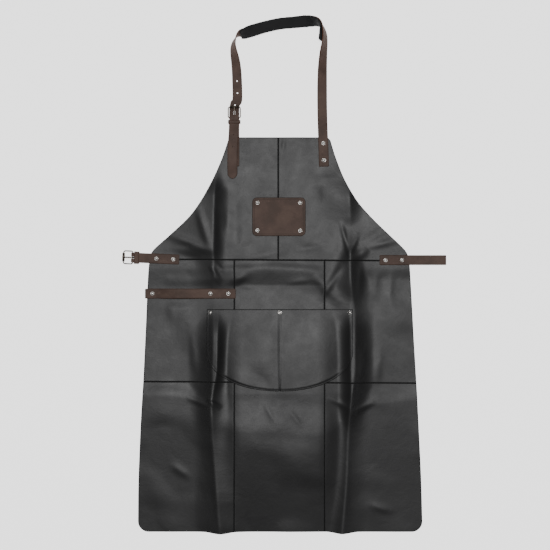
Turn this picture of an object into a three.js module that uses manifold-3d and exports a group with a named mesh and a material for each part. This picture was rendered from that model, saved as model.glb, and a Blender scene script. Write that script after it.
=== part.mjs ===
// A leather work apron lying face up on a flat surface, in millimetres.
// +X is to the right of the picture, +Y towards the neck, +Z up from the surface.
// The origin lies on the surface, under the middle of the pocket.
import * as THREE from "three";
import { mergeVertices } from "three/addons/utils/BufferGeometryUtils.js";
import Module from "manifold-3d";

const wasm = await Module();
wasm.setup();

// Driving sizes of the apron sheet
const apron_height = 840;
const hem_half_width = 303;
const hem_below_origin = 387;
const leather = 1.6;
const hem_corner = 23;
const bib_corner = 9;
const hem_bulge = 4;
const seam_tilt = 0.006;
const waist_seam_up = 191.5;
const skirt_seam_down = 68.5;

// Driving sizes of the folds
const crease_height = 9;
const crease_foot = 36;
const fold_height = 8;
const fold_foot = 60;
const tunnel_shoulder = 14;
const tunnel_side_room = 5;

// Driving sizes of the straps
const strap_width = 21;
const strap = 2.2;
const strap_corner = 2;
const towel_strap_bow = 8;
const towel_past_edge = 4.5;
const towel_past_seam = 3.2;
const towel_rivet_inset = 15.7;
const towel_rivet_pair = 37.7;
const waist_front_length = 141;
const waist_right_lap = 62.8;
const waist_left_lap = 63.5;
const waist_rivet_inset = 12.4;
const waist_edge_inset = 14.8;
const waist_left_rise = 3.2;
const waist_left_turn_deg = -2.5;
const hidden_end_lap = 25;
const hidden_ends_gap = 7.6;
const neck_loop_height = 247;
const neck_half_width = 91.5;
const neck_lap = 62;
const neck_rivet_inset = 13;
const neck_tail_lap = 88.5;
const neck_tail_aside = 4;
const neck_tip_length = 18;
const neck_hole_spacing = 25.5;
const neck_holes_above = 3;
const neck_holes_below = 2;
const first_hole_over_bar = 28;
const tail_hole_under_bar = 36;

// Driving sizes of the trim
const patch_length = 113.5;
const patch_height = 82;
const patch_corner = 10;
const patch_leather = 2;
const patch_rivet_inset = 11.5;
const patch_across = -1.8;
const patch_over_waist = 51.2;
const pocket_width = 310;
const pocket_mouth_up = 87;
const pocket_depth_down = 86.5;
const pocket_bulge = 8;
const pocket_seam = 6;
const pocket_side = 20;
const pocket_roundness = 0.93;
const pocket_rivet_inset = 6.8;
const towel_over_pocket = 33.2;
const pad_width = 27;
const pad_thickness = 4.8;
const rivet_radius = 3.85;
const rivet_dome = 1.7;
const rivet_rim = 0.35;
const rivet_post = 1.5;
const rivet_back_radius = 3.5;
const rivet_back = 0.5;
const hole_radius = 1.5;

// Driving sizes of the buckles
const waist_buckle_length = 22.6;
const waist_buckle_width = 29.6;
const neck_buckle_length = 26;
const neck_buckle_width = 28;
const waist_buckle_past_edge = 35.2;
const neck_buckle_over_bib = 40.5;
const neck_buckle_aside = 5.2;
const buckle_bar = 2.4;
const bar_chamfer = 0.5;
const buckle_corner = 5;
const roller_radius = 2.8;
const roller_wall = 0.9;
const roller_length = 18;
const prong_width = 3;
const prong_thickness = 1.8;
const prong_past_bar = 2;
const prong_ring_wall = 1.2;
const keeper_wall = 1.5;
const keeper_corner = 1.4;
const waist_keeper_length = 10.4;
const neck_keeper_length = 7.5;
const waist_keeper_behind_bar = 3;
const neck_keeper_behind_bar = 4.75;

// Clearances
const clearance = 0.3;
const seam_gap = 0.4;
const rest_gap = 0.02;

// Sizes that follow from the driving sizes
const hem_y = -hem_below_origin;
const bib_top_y = apron_height - hem_below_origin;
const tunnel_height = strap + clearance;
const post_hole = rivet_post + clearance;
const bar_reach = Math.hypot(buckle_bar / 2, buckle_bar / 2 - bar_chamfer);
const ring_inner = bar_reach + clearance;
const ring_outer = ring_inner + prong_ring_wall;
const heel_height = keeper_wall + clearance + strap + ring_inner;
const turn_radius = ring_inner + strap / 2;
const up = new THREE.Vector3(0, 0, 1);

// Materials
const leather_black = new THREE.MeshStandardMaterial({ color: 0x2e2e30, roughness: 0.45 });
const leather_brown = new THREE.MeshStandardMaterial({ color: 0x4a3a34, roughness: 0.55 });
const pad_black = new THREE.MeshStandardMaterial({ color: 0x1a1a1b, roughness: 0.8 });
const nickel = new THREE.MeshStandardMaterial({ color: 0xb9b9b6, roughness: 0.3, metalness: 1 });
const bronze = new THREE.MeshStandardMaterial({ color: 0x4b4138, roughness: 0.4, metalness: 1 });

const apron = new THREE.Group();

// How far a cutter reaches above and below whatever it cuts.
const far = 60;

// A point of the sheet from its shares: across from the centre line, up from the hem.
const sheetX = (across) => across * hem_half_width;
const sheetY = (share) => hem_y + share * apron_height;

// The apron's two side edges, from the hem to the top of the bib.
const side_edges = [
  { up: -0.05, left: -0.998, right: 1.004 },
  { up: 0.0, left: -0.997, right: 1.003 },
  { up: 0.13, left: -0.992, right: 0.993 },
  { up: 0.26, left: -0.977, right: 0.975 },
  { up: 0.376, left: -0.959, right: 0.959 },
  { up: 0.51, left: -0.942, right: 0.938 },
  { up: 0.64, left: -0.927, right: 0.919 },
  { up: 0.69, left: -0.915, right: 0.907 },
  { up: 0.704, left: -0.906, right: 0.896 },
  { up: 0.718, left: -0.878, right: 0.869 },
  { up: 0.754, left: -0.766, right: 0.765 },
  { up: 0.798, left: -0.637, right: 0.641 },
  { up: 0.839, left: -0.553, right: 0.543 },
  { up: 0.891, left: -0.474, right: 0.458 },
  { up: 0.948, left: -0.405, right: 0.394 },
  { up: 1.0, left: -0.357, right: 0.35 },
  { up: 1.05, left: -0.32, right: 0.31 },
];

// The two long creases. The outer foot is on the side edge's side, the inner one towards the middle.
const creases = [
  {
    side: -1,
    path: [
      { up: 1.05, across: -0.44, rise: 0, outer: 0.4, inner: 0.6 },
      { up: 0.9, across: -0.455, rise: 0.1, outer: 0.4, inner: 0.7 },
      { up: 0.85, across: -0.462, rise: 0.85, outer: 0.5, inner: 0.8 },
      { up: 0.72, across: -0.467, rise: 1, outer: 0.6, inner: 0.8 },
      { up: 0.69, across: -0.467, rise: 0.6, outer: 0.6, inner: 0.6 },
      { up: 0.645, across: -0.463, rise: 0.8, outer: 0.6, inner: 0.6 },
      { up: 0.605, across: -0.458, rise: 0.12, outer: 0.6, inner: 0.6 },
      { up: 0.558, across: -0.452, rise: 0.12, outer: 0.6, inner: 0.6 },
      { up: 0.5, across: -0.45, rise: 0.8, outer: 0.8, inner: 0.6 },
      { up: 0.4, across: -0.458, rise: 0.9, outer: 0.9, inner: 0.6 },
      { up: 0.326, across: -0.478, rise: 1, outer: 0.8, inner: 0.6 },
      { up: 0.232, across: -0.469, rise: 0.75, outer: 0.9, inner: 0.6 },
      { up: 0.13, across: -0.448, rise: 0.65, outer: 0.9, inner: 0.6 },
      { up: -0.05, across: -0.409, rise: 0.6, outer: 0.8, inner: 0.6 },
    ],
  },
  {
    side: 1,
    path: [
      { up: 1.05, across: 0.45, rise: 0, outer: 0.4, inner: 0.5 },
      { up: 0.87, across: 0.478, rise: 0.05, outer: 0.4, inner: 0.5 },
      { up: 0.77, across: 0.492, rise: 0.5, outer: 0.5, inner: 0.7 },
      { up: 0.7, across: 0.493, rise: 0.8, outer: 0.6, inner: 0.7 },
      { up: 0.64, across: 0.497, rise: 1, outer: 0.7, inner: 0.6 },
      { up: 0.59, across: 0.508, rise: 0.5, outer: 0.7, inner: 0.5 },
      { up: 0.555, across: 0.51, rise: 0.15, outer: 0.7, inner: 0.5 },
      { up: 0.5, across: 0.512, rise: 0.8, outer: 0.7, inner: 0.5 },
      { up: 0.385, across: 0.508, rise: 1, outer: 0.7, inner: 0.5 },
      { up: 0.31, across: 0.493, rise: 1, outer: 0.7, inner: 0.5 },
      { up: 0.25, across: 0.481, rise: 0.7, outer: 0.7, inner: 0.5 },
      { up: 0.12, across: 0.467, rise: 0.6, outer: 0.7, inner: 0.5 },
      { up: -0.05, across: 0.425, rise: 0.65, outer: 0.7, inner: 0.5 },
    ],
  },
];

// The fold under the waist seam, between the two creases.
const waist_fold = [
  { across: -1.1, up: 0.662, rise: 0, above: 0.33, below: 0.6 },
  { across: -0.5, up: 0.664, rise: 0, above: 0.33, below: 0.6 },
  { across: -0.38, up: 0.668, rise: 0.7, above: 0.33, below: 0.6 },
  { across: -0.1, up: 0.669, rise: 0.9, above: 0.33, below: 0.6 },
  { across: 0.2, up: 0.663, rise: 0.9, above: 0.36, below: 0.65 },
  { across: 0.38, up: 0.652, rise: 0.6, above: 0.4, below: 0.7 },
  { across: 0.52, up: 0.645, rise: 0, above: 0.4, below: 0.7 },
  { across: 1.1, up: 0.645, rise: 0, above: 0.4, below: 0.7 },
];

// The long fold across the skirt, lower in the middle than at the sides.
const skirt_fold = [
  { across: -1.1, up: 0.343, rise: 0.6, above: 0.5, below: 0.45 },
  { across: -0.74, up: 0.343, rise: 0.8, above: 0.5, below: 0.45 },
  { across: -0.53, up: 0.322, rise: 0.7, above: 0.5, below: 0.45 },
  { across: -0.4, up: 0.272, rise: 0.7, above: 0.8, below: 0.45 },
  { across: -0.3, up: 0.257, rise: 1, above: 1, below: 0.45 },
  { across: 0.0, up: 0.257, rise: 1, above: 1, below: 0.45 },
  { across: 0.16, up: 0.246, rise: 1, above: 1, below: 0.45 },
  { across: 0.32, up: 0.252, rise: 0.8, above: 0.9, below: 0.45 },
  { across: 0.44, up: 0.277, rise: 0.5, above: 0.6, below: 0.45 },
  { across: 0.51, up: 0.308, rise: 0.7, above: 0.6, below: 0.45 },
  { across: 0.7, up: 0.323, rise: 0.8, above: 0.6, below: 0.45 },
  { across: 1.1, up: 0.34, rise: 0.6, above: 0.6, below: 0.45 },
];

// The seams that run down the sheet, as shares of the half width.
const bib_seam = -0.011;
const skirt_seams = [-0.32, 0.3145];

// A smooth curve through one column of a table, read at a place along another column.
function follow(rows, along, column, at) {
  const rising = rows[0][along] < rows[rows.length - 1][along] ? 1 : -1;
  let k = 0;
  while (k < rows.length - 2 && (rows[k + 1][along] - at) * rising < 0) k++;
  const a = rows[k];
  const b = rows[k + 1];
  const before = rows[Math.max(k - 1, 0)];
  const after = rows[Math.min(k + 2, rows.length - 1)];
  const span = b[along] - a[along];
  const t = THREE.MathUtils.clamp((at - a[along]) / span, 0, 1);
  const slopeA = ((b[column] - before[column]) / (b[along] - before[along])) * span;
  const slopeB = ((after[column] - a[column]) / (after[along] - a[along])) * span;
  const t2 = t * t;
  const t3 = t2 * t;
  const start = 2 * t3 - 3 * t2 + 1;
  return start * a[column] + (1 - start) * b[column] + (t3 - 2 * t2 + t) * slopeA + (t3 - t2) * slopeB;
}

// The cross-section of a fold: one at its crest, nothing at its foot.
function ridge(distance, foot, softness) {
  const t = Math.min(Math.abs(distance) / foot, 1);
  return (1 - t) ** 2 * (1 + 2 * softness * t);
}

const shareUp = (y) => (y - hem_y) / apron_height;
const shareAcross = (x) => x / hem_half_width;
const waistY = (x) => waist_seam_up - seam_tilt * x;
const skirtSeamY = (x) => -skirt_seam_down - seam_tilt * x;
const creaseX = (crease, y) => sheetX(follow(crease.path, "up", "across", shareUp(y)));
const foldY = (rows, x) => sheetY(follow(rows, "across", "up", shareAcross(x)));

// How high one long crease lifts the sheet.
function creaseLift(crease, x, y) {
  const share = shareUp(y);
  const beside = (x - creaseX(crease, y)) * crease.side;
  const foot = follow(crease.path, "up", beside > 0 ? "outer" : "inner", share) * crease_foot;
  const height = Math.max(follow(crease.path, "up", "rise", share), 0) * crease_height;
  return height * ridge(beside, foot, 0.3);
}

// How high one cross fold lifts the sheet.
function foldLift(rows, x, y) {
  const share = shareAcross(x);
  const over = y - foldY(rows, x);
  const foot = follow(rows, "across", over > 0 ? "above" : "below", share) * fold_foot;
  const height = Math.max(follow(rows, "across", "rise", share), 0) * fold_height;
  return height * ridge(over, foot, 0.7);
}

// The hidden strap behind the waist seam lifts the sheet along its whole width.
const tunnel_flat = strap_width / 2 + tunnel_side_room;
function tunnelLift(x, y) {
  const over = Math.abs(y - waist_seam_up) - tunnel_flat;
  return tunnel_height * (1 - THREE.MathUtils.smoothstep(over, 0, tunnel_shoulder));
}

// The height of the sheet's underside over the surface that it lies on.
function lift(x, y) {
  const rises = creases.map((crease) => creaseLift(crease, x, y));
  return Math.hypot(...rises, foldLift(waist_fold, x, y), foldLift(skirt_fold, x, y), tunnelLift(x, y));
}

// Rows of rivets pin the sheet down, so the net has a row along each.
const pocket_rivet_y = pocket_mouth_up - pocket_rivet_inset;
const pocket_level = 0.25 * pocket_mouth_up;
const towel_y = pocket_mouth_up + towel_over_pocket;

// The sheet's net of points: its columns follow the creases and its rows follow the folds.
const outside = 1.06;
const overrun = 0.04;
function columnLines(y) {
  const share = shareUp(y);
  const lines = [];
  const crest = creases.map((crease) => creaseX(crease, y));
  const foot = (crease, column) => follow(crease.path, "up", column, share) * crease_foot;
  const spread = (from, to, count) => {
    for (let k = 0; k < count; k++) lines.push(from + ((to - from) * k) / count);
  };
  spread(-outside * hem_half_width, crest[0] - foot(creases[0], "outer"), 3);
  spread(crest[0] - foot(creases[0], "outer"), crest[0], 2);
  spread(crest[0], crest[0] + foot(creases[0], "inner"), 2);
  spread(crest[0] + foot(creases[0], "inner"), -pocket_seam, 3);
  spread(-pocket_seam, pocket_seam, 1);
  spread(pocket_seam, crest[1] - foot(creases[1], "inner"), 3);
  spread(crest[1] - foot(creases[1], "inner"), crest[1], 2);
  spread(crest[1], crest[1] + foot(creases[1], "outer"), 2);
  spread(crest[1] + foot(creases[1], "outer"), outside * hem_half_width, 3);
  lines.push(outside * hem_half_width);
  return lines;
}
function rowLines(x) {
  const share = shareAcross(x);
  const skirt = foldY(skirt_fold, x);
  const waist = foldY(waist_fold, x);
  const foot = (rows, column) => follow(rows, "across", column, share) * fold_foot;
  const lines = [];
  const spread = (from, to, count) => {
    for (let k = 0; k < count; k++) lines.push(from + ((to - from) * k) / count);
  };
  const tunnel = waist_seam_up - tunnel_flat;
  spread(sheetY(-overrun), skirt - foot(skirt_fold, "below"), 4);
  spread(skirt - foot(skirt_fold, "below"), skirt, 2);
  spread(skirt, skirt + foot(skirt_fold, "above"), 2);
  spread(skirt + foot(skirt_fold, "above"), pocket_level, 3);
  spread(pocket_level, pocket_rivet_y, 2);
  spread(pocket_rivet_y, towel_y, 1);
  spread(towel_y, waist - foot(waist_fold, "below"), 1);
  spread(waist - foot(waist_fold, "below"), waist, 2);
  spread(waist, tunnel, 1);
  spread(tunnel, waist_seam_up + tunnel_flat, 1);
  spread(waist_seam_up + tunnel_flat, waist_seam_up + tunnel_flat + tunnel_shoulder, 1);
  spread(waist_seam_up + tunnel_flat + tunnel_shoulder, sheetY(1 + overrun), 6);
  lines.push(sheetY(1 + overrun));
  return lines;
}
const column_count = columnLines(0).length;
const row_count = rowLines(0).length;

// Where a column and a row cross is found in a few steps, since each bends along the other.
const net = [];
for (let row = 0; row < row_count; row++) {
  const line = [];
  for (let column = 0; column < column_count; column++) {
    let y = rowLines(0)[row];
    let x = 0;
    for (let step = 0; step < 5; step++) {
      x = columnLines(y)[column];
      y = rowLines(x)[row];
    }
    line.push(new THREE.Vector3(x, y, lift(x, y)));
  }
  net.push(line);
}

// A solid for cutting and joining, from any closed geometry.
function solidOf(geometry) {
  const bare = geometry.clone();
  bare.deleteAttribute("normal");
  bare.deleteAttribute("uv");
  const merged = mergeVertices(bare, 1e-4);
  return new wasm.Manifold(
    new wasm.Mesh({
      numProp: 3,
      vertProperties: new Float32Array(merged.attributes.position.array),
      triVerts: new Uint32Array(merged.index.array),
    }),
  );
}

// A solid's triangles as a geometry.
function geometryOf(solid) {
  const mesh = solid.getMesh();
  const geometry = new THREE.BufferGeometry();
  geometry.setAttribute("position", new THREE.BufferAttribute(mesh.vertProperties, 3));
  geometry.setIndex(new THREE.BufferAttribute(mesh.triVerts, 1));
  geometry.computeVertexNormals();
  return geometry;
}

// Adds one named piece to the apron.
function addPiece(name, shape, material) {
  const geometry = shape.isBufferGeometry ? shape : geometryOf(shape);
  const mesh = new THREE.Mesh(geometry, material.clone());
  mesh.name = name;
  apron.add(mesh);
}

// A closed geometry from rings of points, each ring a loop with the same number of points.
function skin(rings) {
  const positions = rings.flat().flatMap((p) => [p.x, p.y, p.z]);
  const count = rings[0].length;
  const index = [];
  for (let r = 0; r < rings.length - 1; r++) {
    for (let k = 0; k < count; k++) {
      const a = r * count + k;
      const b = r * count + ((k + 1) % count);
      index.push(a, b, b + count, a, b + count, a + count);
    }
  }
  const last = (rings.length - 1) * count;
  for (let k = 1; k < count - 1; k++) {
    index.push(0, k + 1, k);
    index.push(last, last + k, last + k + 1);
  }
  const geometry = new THREE.BufferGeometry();
  geometry.setAttribute("position", new THREE.Float32BufferAttribute(positions, 3));
  geometry.setIndex(index);
  return geometry;
}

// A wall that follows the net at a height over the sheet's underside.
function netWall(over, wall) {
  const lower = net.map((line) => line.map((p) => new THREE.Vector3(p.x, p.y, p.z + over(p.x, p.y))));
  const positions = [];
  const index = [];
  const size = row_count * column_count;
  for (const raised of [0, wall]) {
    lower.flat().forEach((p) => positions.push(p.x, p.y, p.z + raised));
  }
  const quad = (a, b, c, d) => index.push(a, b, c, a, c, d);
  for (let r = 0; r < row_count - 1; r++) {
    for (let c = 0; c < column_count - 1; c++) {
      const a = r * column_count + c;
      const b = a + 1;
      const d = a + column_count;
      const e = d + 1;
      quad(size + a, size + b, size + e, size + d);
      index.push(a, e, b, a, d, e);
    }
  }
  for (let c = 0; c < column_count - 1; c++) {
    const last = (row_count - 1) * column_count + c;
    quad(c, c + 1, size + c + 1, size + c);
    quad(last + 1, last, size + last, size + last + 1);
  }
  for (let r = 0; r < row_count - 1; r++) {
    const left = r * column_count;
    const right = left + column_count - 1;
    quad(left + column_count, left, size + left, size + left + column_count);
    quad(right, right + column_count, size + right + column_count, size + right);
  }
  const geometry = new THREE.BufferGeometry();
  geometry.setAttribute("position", new THREE.Float32BufferAttribute(positions, 3));
  geometry.setIndex(index);
  return solidOf(geometry);
}

// The facet at a point of a wall that follows the net at a height over it: its height and its normal.
function facetAt(x, y, over = () => 0) {
  const raised = (p) => new THREE.Vector3(p.x, p.y, p.z + over(p.x, p.y));
  const triangle = new THREE.Triangle();
  const weights = new THREE.Vector3();
  for (let r = 0; r < row_count - 1; r++) {
    for (let c = 0; c < column_count - 1; c++) {
      const [a, b, e, d] = [net[r][c], net[r][c + 1], net[r + 1][c + 1], net[r + 1][c]];
      for (const corners of [[a, b, e], [a, e, d]]) {
        const flat = corners.map((p) => new THREE.Vector3(p.x, p.y, 0));
        triangle.set(...flat);
        triangle.getBarycoord(new THREE.Vector3(x, y, 0), weights);
        if (Math.min(weights.x, weights.y, weights.z) < -1e-9) continue;
        const [first, second, third] = corners.map(raised);
        const height = first.z * weights.x + second.z * weights.y + third.z * weights.z;
        const normal = new THREE.Triangle(first, second, third).getNormal(new THREE.Vector3());
        return { height, normal };
      }
    }
  }
  return { height: 0, normal: up.clone() };
}

// An upright prism over a flat outline, tall enough to cut any wall of the sheet.
function prism(points, low = -far, high = far) {
  const geometry = new THREE.ExtrudeGeometry(new THREE.Shape(points), {
    depth: high - low,
    bevelEnabled: false,
  });
  geometry.translate(0, 0, low);
  return solidOf(geometry);
}
const flat = (x, y) => new THREE.Vector2(x, y);

// A rectangle with round corners, as a list of outline points.
function roundedOutline(left, right, low, high, radius, steps = 3) {
  const shape = new THREE.Shape();
  shape.moveTo(left + radius, low);
  shape.lineTo(right - radius, low);
  shape.absarc(right - radius, low + radius, radius, -Math.PI / 2, 0, false);
  shape.lineTo(right, high - radius);
  shape.absarc(right - radius, high - radius, radius, 0, Math.PI / 2, false);
  shape.lineTo(left + radius, high);
  shape.absarc(left + radius, high - radius, radius, Math.PI / 2, Math.PI, false);
  shape.lineTo(left, low + radius);
  shape.absarc(left + radius, low + radius, radius, Math.PI, 1.5 * Math.PI, false);
  return shape.extractPoints(steps).shape;
}

// The whole apron's outline, from the right hem corner round to the left one and along the hem.
const edge = (side, y) => sheetX(follow(side_edges, "up", side, shareUp(y)));
function apronOutline() {
  const points = [];
  const low = hem_y + hem_corner;
  const high = bib_top_y - bib_corner;
  const steps = 26;
  const corner_steps = 3;
  const corner = (x, y, radius, from) => {
    for (let k = 0; k <= corner_steps; k++) {
      const angle = from + ((Math.PI / 2) * k) / corner_steps;
      points.push(flat(x + radius * Math.cos(angle), y + radius * Math.sin(angle)));
    }
  };
  corner(edge("right", low) - hem_corner, low, hem_corner, -Math.PI / 2);
  for (let k = 1; k < steps; k++) {
    const y = low + ((high - low) * k) / steps;
    points.push(flat(edge("right", y), y));
  }
  corner(edge("right", high) - bib_corner, high, bib_corner, 0);
  corner(edge("left", high) + bib_corner, high, bib_corner, Math.PI / 2);
  for (let k = steps - 1; k > 0; k--) {
    const y = low + ((high - low) * k) / steps;
    points.push(flat(edge("left", y), y));
  }
  corner(edge("left", low) + hem_corner, low, hem_corner, Math.PI);
  const hem_steps = 16;
  const from = edge("left", low) + hem_corner;
  const to = edge("right", low) - hem_corner;
  for (let k = 1; k < hem_steps; k++) {
    const x = from + ((to - from) * k) / hem_steps;
    const drops = creases.map((crease) => ridge(x - creaseX(crease, hem_y), crease_foot, 1));
    points.push(flat(x, hem_y - hem_bulge * Math.max(...drops)));
  }
  return points;
}

// The eight panels of the sheet, each cut from one wall between its seams.
const sheet = netWall(() => 0, leather).intersect(prism(apronOutline()));
const wide = 2 * hem_half_width;
const half_gap = seam_gap / 2;
function strip(left, right, lowSeam, highSeam) {
  const low = (x) => (lowSeam ? lowSeam(x) + half_gap : hem_y - wide);
  const high = (x) => (highSeam ? highSeam(x) - half_gap : bib_top_y + wide);
  const lower_side = [flat(left, low(left)), flat(right, low(right))];
  return prism([...lower_side, flat(right, high(right)), flat(left, high(left))]);
}
const lower_edges = [
  [-wide, sheetX(skirt_seams[0]) - half_gap],
  [sheetX(skirt_seams[0]) + half_gap, sheetX(skirt_seams[1]) - half_gap],
  [sheetX(skirt_seams[1]) + half_gap, wide],
];
const panels = {
  bib_left: strip(-wide, sheetX(bib_seam) - half_gap, waistY, null),
  bib_right: strip(sheetX(bib_seam) + half_gap, wide, waistY, null),
  waist_left: strip(...lower_edges[0], skirtSeamY, waistY),
  waist_centre: strip(...lower_edges[1], skirtSeamY, waistY),
  waist_right: strip(...lower_edges[2], skirtSeamY, waistY),
  skirt_left: strip(...lower_edges[0], null, skirtSeamY),
  skirt_centre: strip(...lower_edges[1], null, skirtSeamY),
  skirt_right: strip(...lower_edges[2], null, skirtSeamY),
};
for (const name of Object.keys(panels)) panels[name] = sheet.intersect(panels[name]);

// The pocket: two pouches side by side, closed along the middle, the sides and the round bottom.
const pocket_half = pocket_width / 2;
function pocketBulge(x, y) {
  const share = (Math.abs(x) - pocket_seam) / (pocket_half - pocket_seam - pocket_side);
  if (share <= 0 || share >= 1) return 0;
  const across = Math.sin(Math.PI * share) ** 0.8;
  const down = THREE.MathUtils.smoothstep(-y, 0.35 * pocket_depth_down, 0.9 * pocket_depth_down);
  return pocket_bulge * across * (1 - down);
}
function pocketOutline() {
  const points = [flat(pocket_half, pocket_mouth_up), flat(-pocket_half, pocket_mouth_up)];
  const steps = 28;
  for (let k = 0; k <= steps; k++) {
    const angle = Math.PI + (Math.PI * k) / steps;
    const across = Math.sign(Math.cos(angle)) * Math.abs(Math.cos(angle)) ** pocket_roundness;
    const down = Math.abs(Math.sin(angle)) ** pocket_roundness;
    points.push(flat(pocket_half * across, -pocket_depth_down * down));
  }
  return points;
}
const on_panel = leather + clearance;
const pocketOver = (x, y) => on_panel + pocketBulge(x, y);
let pocket = netWall(pocketOver, leather).intersect(prism(pocketOutline()));

// The patch on the bib, plain, with a rivet in each corner.
const patch_x = patch_across;
const patch_y = waist_seam_up + patch_over_waist + patch_height / 2;
const patch_outline = roundedOutline(
  patch_x - patch_length / 2,
  patch_x + patch_length / 2,
  patch_y - patch_height / 2,
  patch_y + patch_height / 2,
  patch_corner,
);
let patch = netWall(() => on_panel, patch_leather).intersect(prism(patch_outline));

// The highest facet under a strap that crosses the sheet at a place.
function seatUnder(x, y, half_x, half_y) {
  let height = 0;
  for (const dx of [-1, -0.5, 0, 0.5, 1]) {
    for (const dy of [-1, -0.5, 0, 0.5, 1]) {
      height = Math.max(height, facetAt(x + dx * half_x, y + dy * half_y).height);
    }
  }
  return height + on_panel;
}

// A flat band bent along a line in its own upright plane: distance along it and height.
function bandSolid(line, wall, width, corner) {
  const left = [];
  const right = [];
  line.forEach((point, k) => {
    const before = line[Math.max(k - 1, 0)];
    const after = line[Math.min(k + 1, line.length - 1)];
    const along = after.clone().sub(before).normalize();
    const aside = flat(-along.y, along.x).multiplyScalar(wall / 2);
    left.push(point.clone().add(aside));
    right.push(point.clone().sub(aside));
  });
  const geometry = new THREE.ExtrudeGeometry(new THREE.Shape([...left, ...right.reverse()]), {
    depth: width,
    bevelEnabled: false,
  });
  geometry.rotateX(Math.PI / 2);
  geometry.translate(0, width / 2, 0);
  const solid = solidOf(geometry);
  if (!corner) return solid;
  const xs = line.map((p) => p.x);
  const outline = roundedOutline(Math.min(...xs) - wall, Math.max(...xs), -width / 2, width / 2, corner);
  return solid.intersect(prism(outline));
}

// A half turn of a band round a bar or on itself, from its upper run to its lower one.
function halfTurn(x, z, radius, facing, steps = 6) {
  const points = [];
  for (let k = 0; k <= steps; k++) {
    const angle = Math.PI / 2 - (Math.PI * k) / steps;
    points.push(flat(x + facing * radius * Math.cos(angle), z + radius * Math.sin(angle)));
  }
  return points;
}

// Turns and moves a solid made in its own axes to its place on the apron.
function placed(geometry_or_solid, matrix) {
  const geometry = geometry_or_solid.isBufferGeometry ? geometry_or_solid : geometryOf(geometry_or_solid);
  return solidOf(geometry.clone().applyMatrix4(matrix));
}
function placeMatrix(x, y, z, turn_deg) {
  const matrix = new THREE.Matrix4().makeRotationZ(THREE.MathUtils.degToRad(turn_deg));
  return matrix.setPosition(x, y, z);
}

// The towel strap, held by three rivets, with a loop between the first two.
const towel_start = edge("left", towel_y) - towel_past_edge;
const towel_end = sheetX(skirt_seams[0]) + towel_past_seam;
const towel_rivets = [
  towel_start + towel_rivet_inset,
  towel_end - towel_rivet_inset - towel_rivet_pair,
  towel_end - towel_rivet_inset,
];
const towel_seat_reach = 9;
const towelSeat = (x) => seatUnder(x, towel_y, towel_seat_reach, strap_width / 2);
function towelLine() {
  const line = [];
  const steps = 20;
  for (let k = 0; k <= steps; k++) {
    const x = towel_start + ((towel_end - towel_start) * k) / steps;
    const loop_start = towel_rivets[0] + 2 * rivet_radius;
    const loop_end = towel_rivets[1] - 2 * rivet_radius;
    const between = THREE.MathUtils.clamp((x - loop_start) / (loop_end - loop_start), 0, 1);
    const bow = towel_strap_bow * Math.sin(Math.PI * between) ** 1.2;
    line.push(flat(x, towelSeat(x) + bow + strap / 2));
  }
  return line;
}
const towel_line = towelLine();
const towel_band = bandSolid(towel_line, strap, strap_width, strap_corner);
let towel_strap = placed(towel_band, placeMatrix(0, towel_y, 0, 0));

// The right waist strap: its front run, a fold, and the hidden run behind the sheet.
const waist_right_edge = edge("right", waist_seam_up);
const waist_left_edge = edge("left", waist_seam_up);
const waist_right_x = waist_right_edge - waist_right_lap;
const waist_fold_x = waist_right_x + waist_front_length;
const waist_hidden_x = waist_left_edge + hidden_end_lap + hidden_ends_gap;
const front_height = tunnel_height + on_panel + strap / 2;
const fold_radius = (front_height - strap / 2) / 2;
const waist_right_line = [
  flat(waist_right_x, front_height),
  ...halfTurn(waist_fold_x - fold_radius, strap / 2 + fold_radius, fold_radius, 1),
  flat(waist_hidden_x, strap / 2),
];
let waist_strap_right = placed(
  bandSolid(waist_right_line, strap, strap_width, 0),
  placeMatrix(0, waist_seam_up, rest_gap, 0),
);

// The left waist strap: it folds round the buckle's bar and its short lower run ends behind the sheet.
const left_pivot_x = waist_left_edge + waist_edge_inset;
const left_pivot_y = waist_seam_up + waist_left_rise;
const heel_x = -waist_edge_inset - waist_buckle_past_edge;
const keeper_x = heel_x + waist_keeper_behind_bar + waist_keeper_length / 2;
const keeper_end = keeper_x + waist_keeper_length / 2 + 2;
const lower_run = heel_height - turn_radius;
const left_line = [
  flat(waist_left_lap - waist_edge_inset, front_height),
  flat(-waist_edge_inset, front_height),
  flat(keeper_end, heel_height + turn_radius),
  ...halfTurn(heel_x, heel_height, turn_radius, -1),
  flat(keeper_end, lower_run),
  flat(-waist_edge_inset, strap / 2 + rest_gap),
  flat(hidden_end_lap - waist_edge_inset, strap / 2 + rest_gap),
];
const left_matrix = placeMatrix(left_pivot_x, left_pivot_y, 0, waist_left_turn_deg);
const prong_slot = prong_width + 4 * clearance;
const slotCut = () => new THREE.BoxGeometry(2 * ring_outer + 2 * strap, prong_slot, 4 * ring_outer);
const left_slot = slotCut().translate(heel_x - strap / 2, 0, heel_height);
let waist_strap_left = placed(
  bandSolid(left_line, strap, strap_width, 0).subtract(solidOf(left_slot)),
  left_matrix,
);

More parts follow.
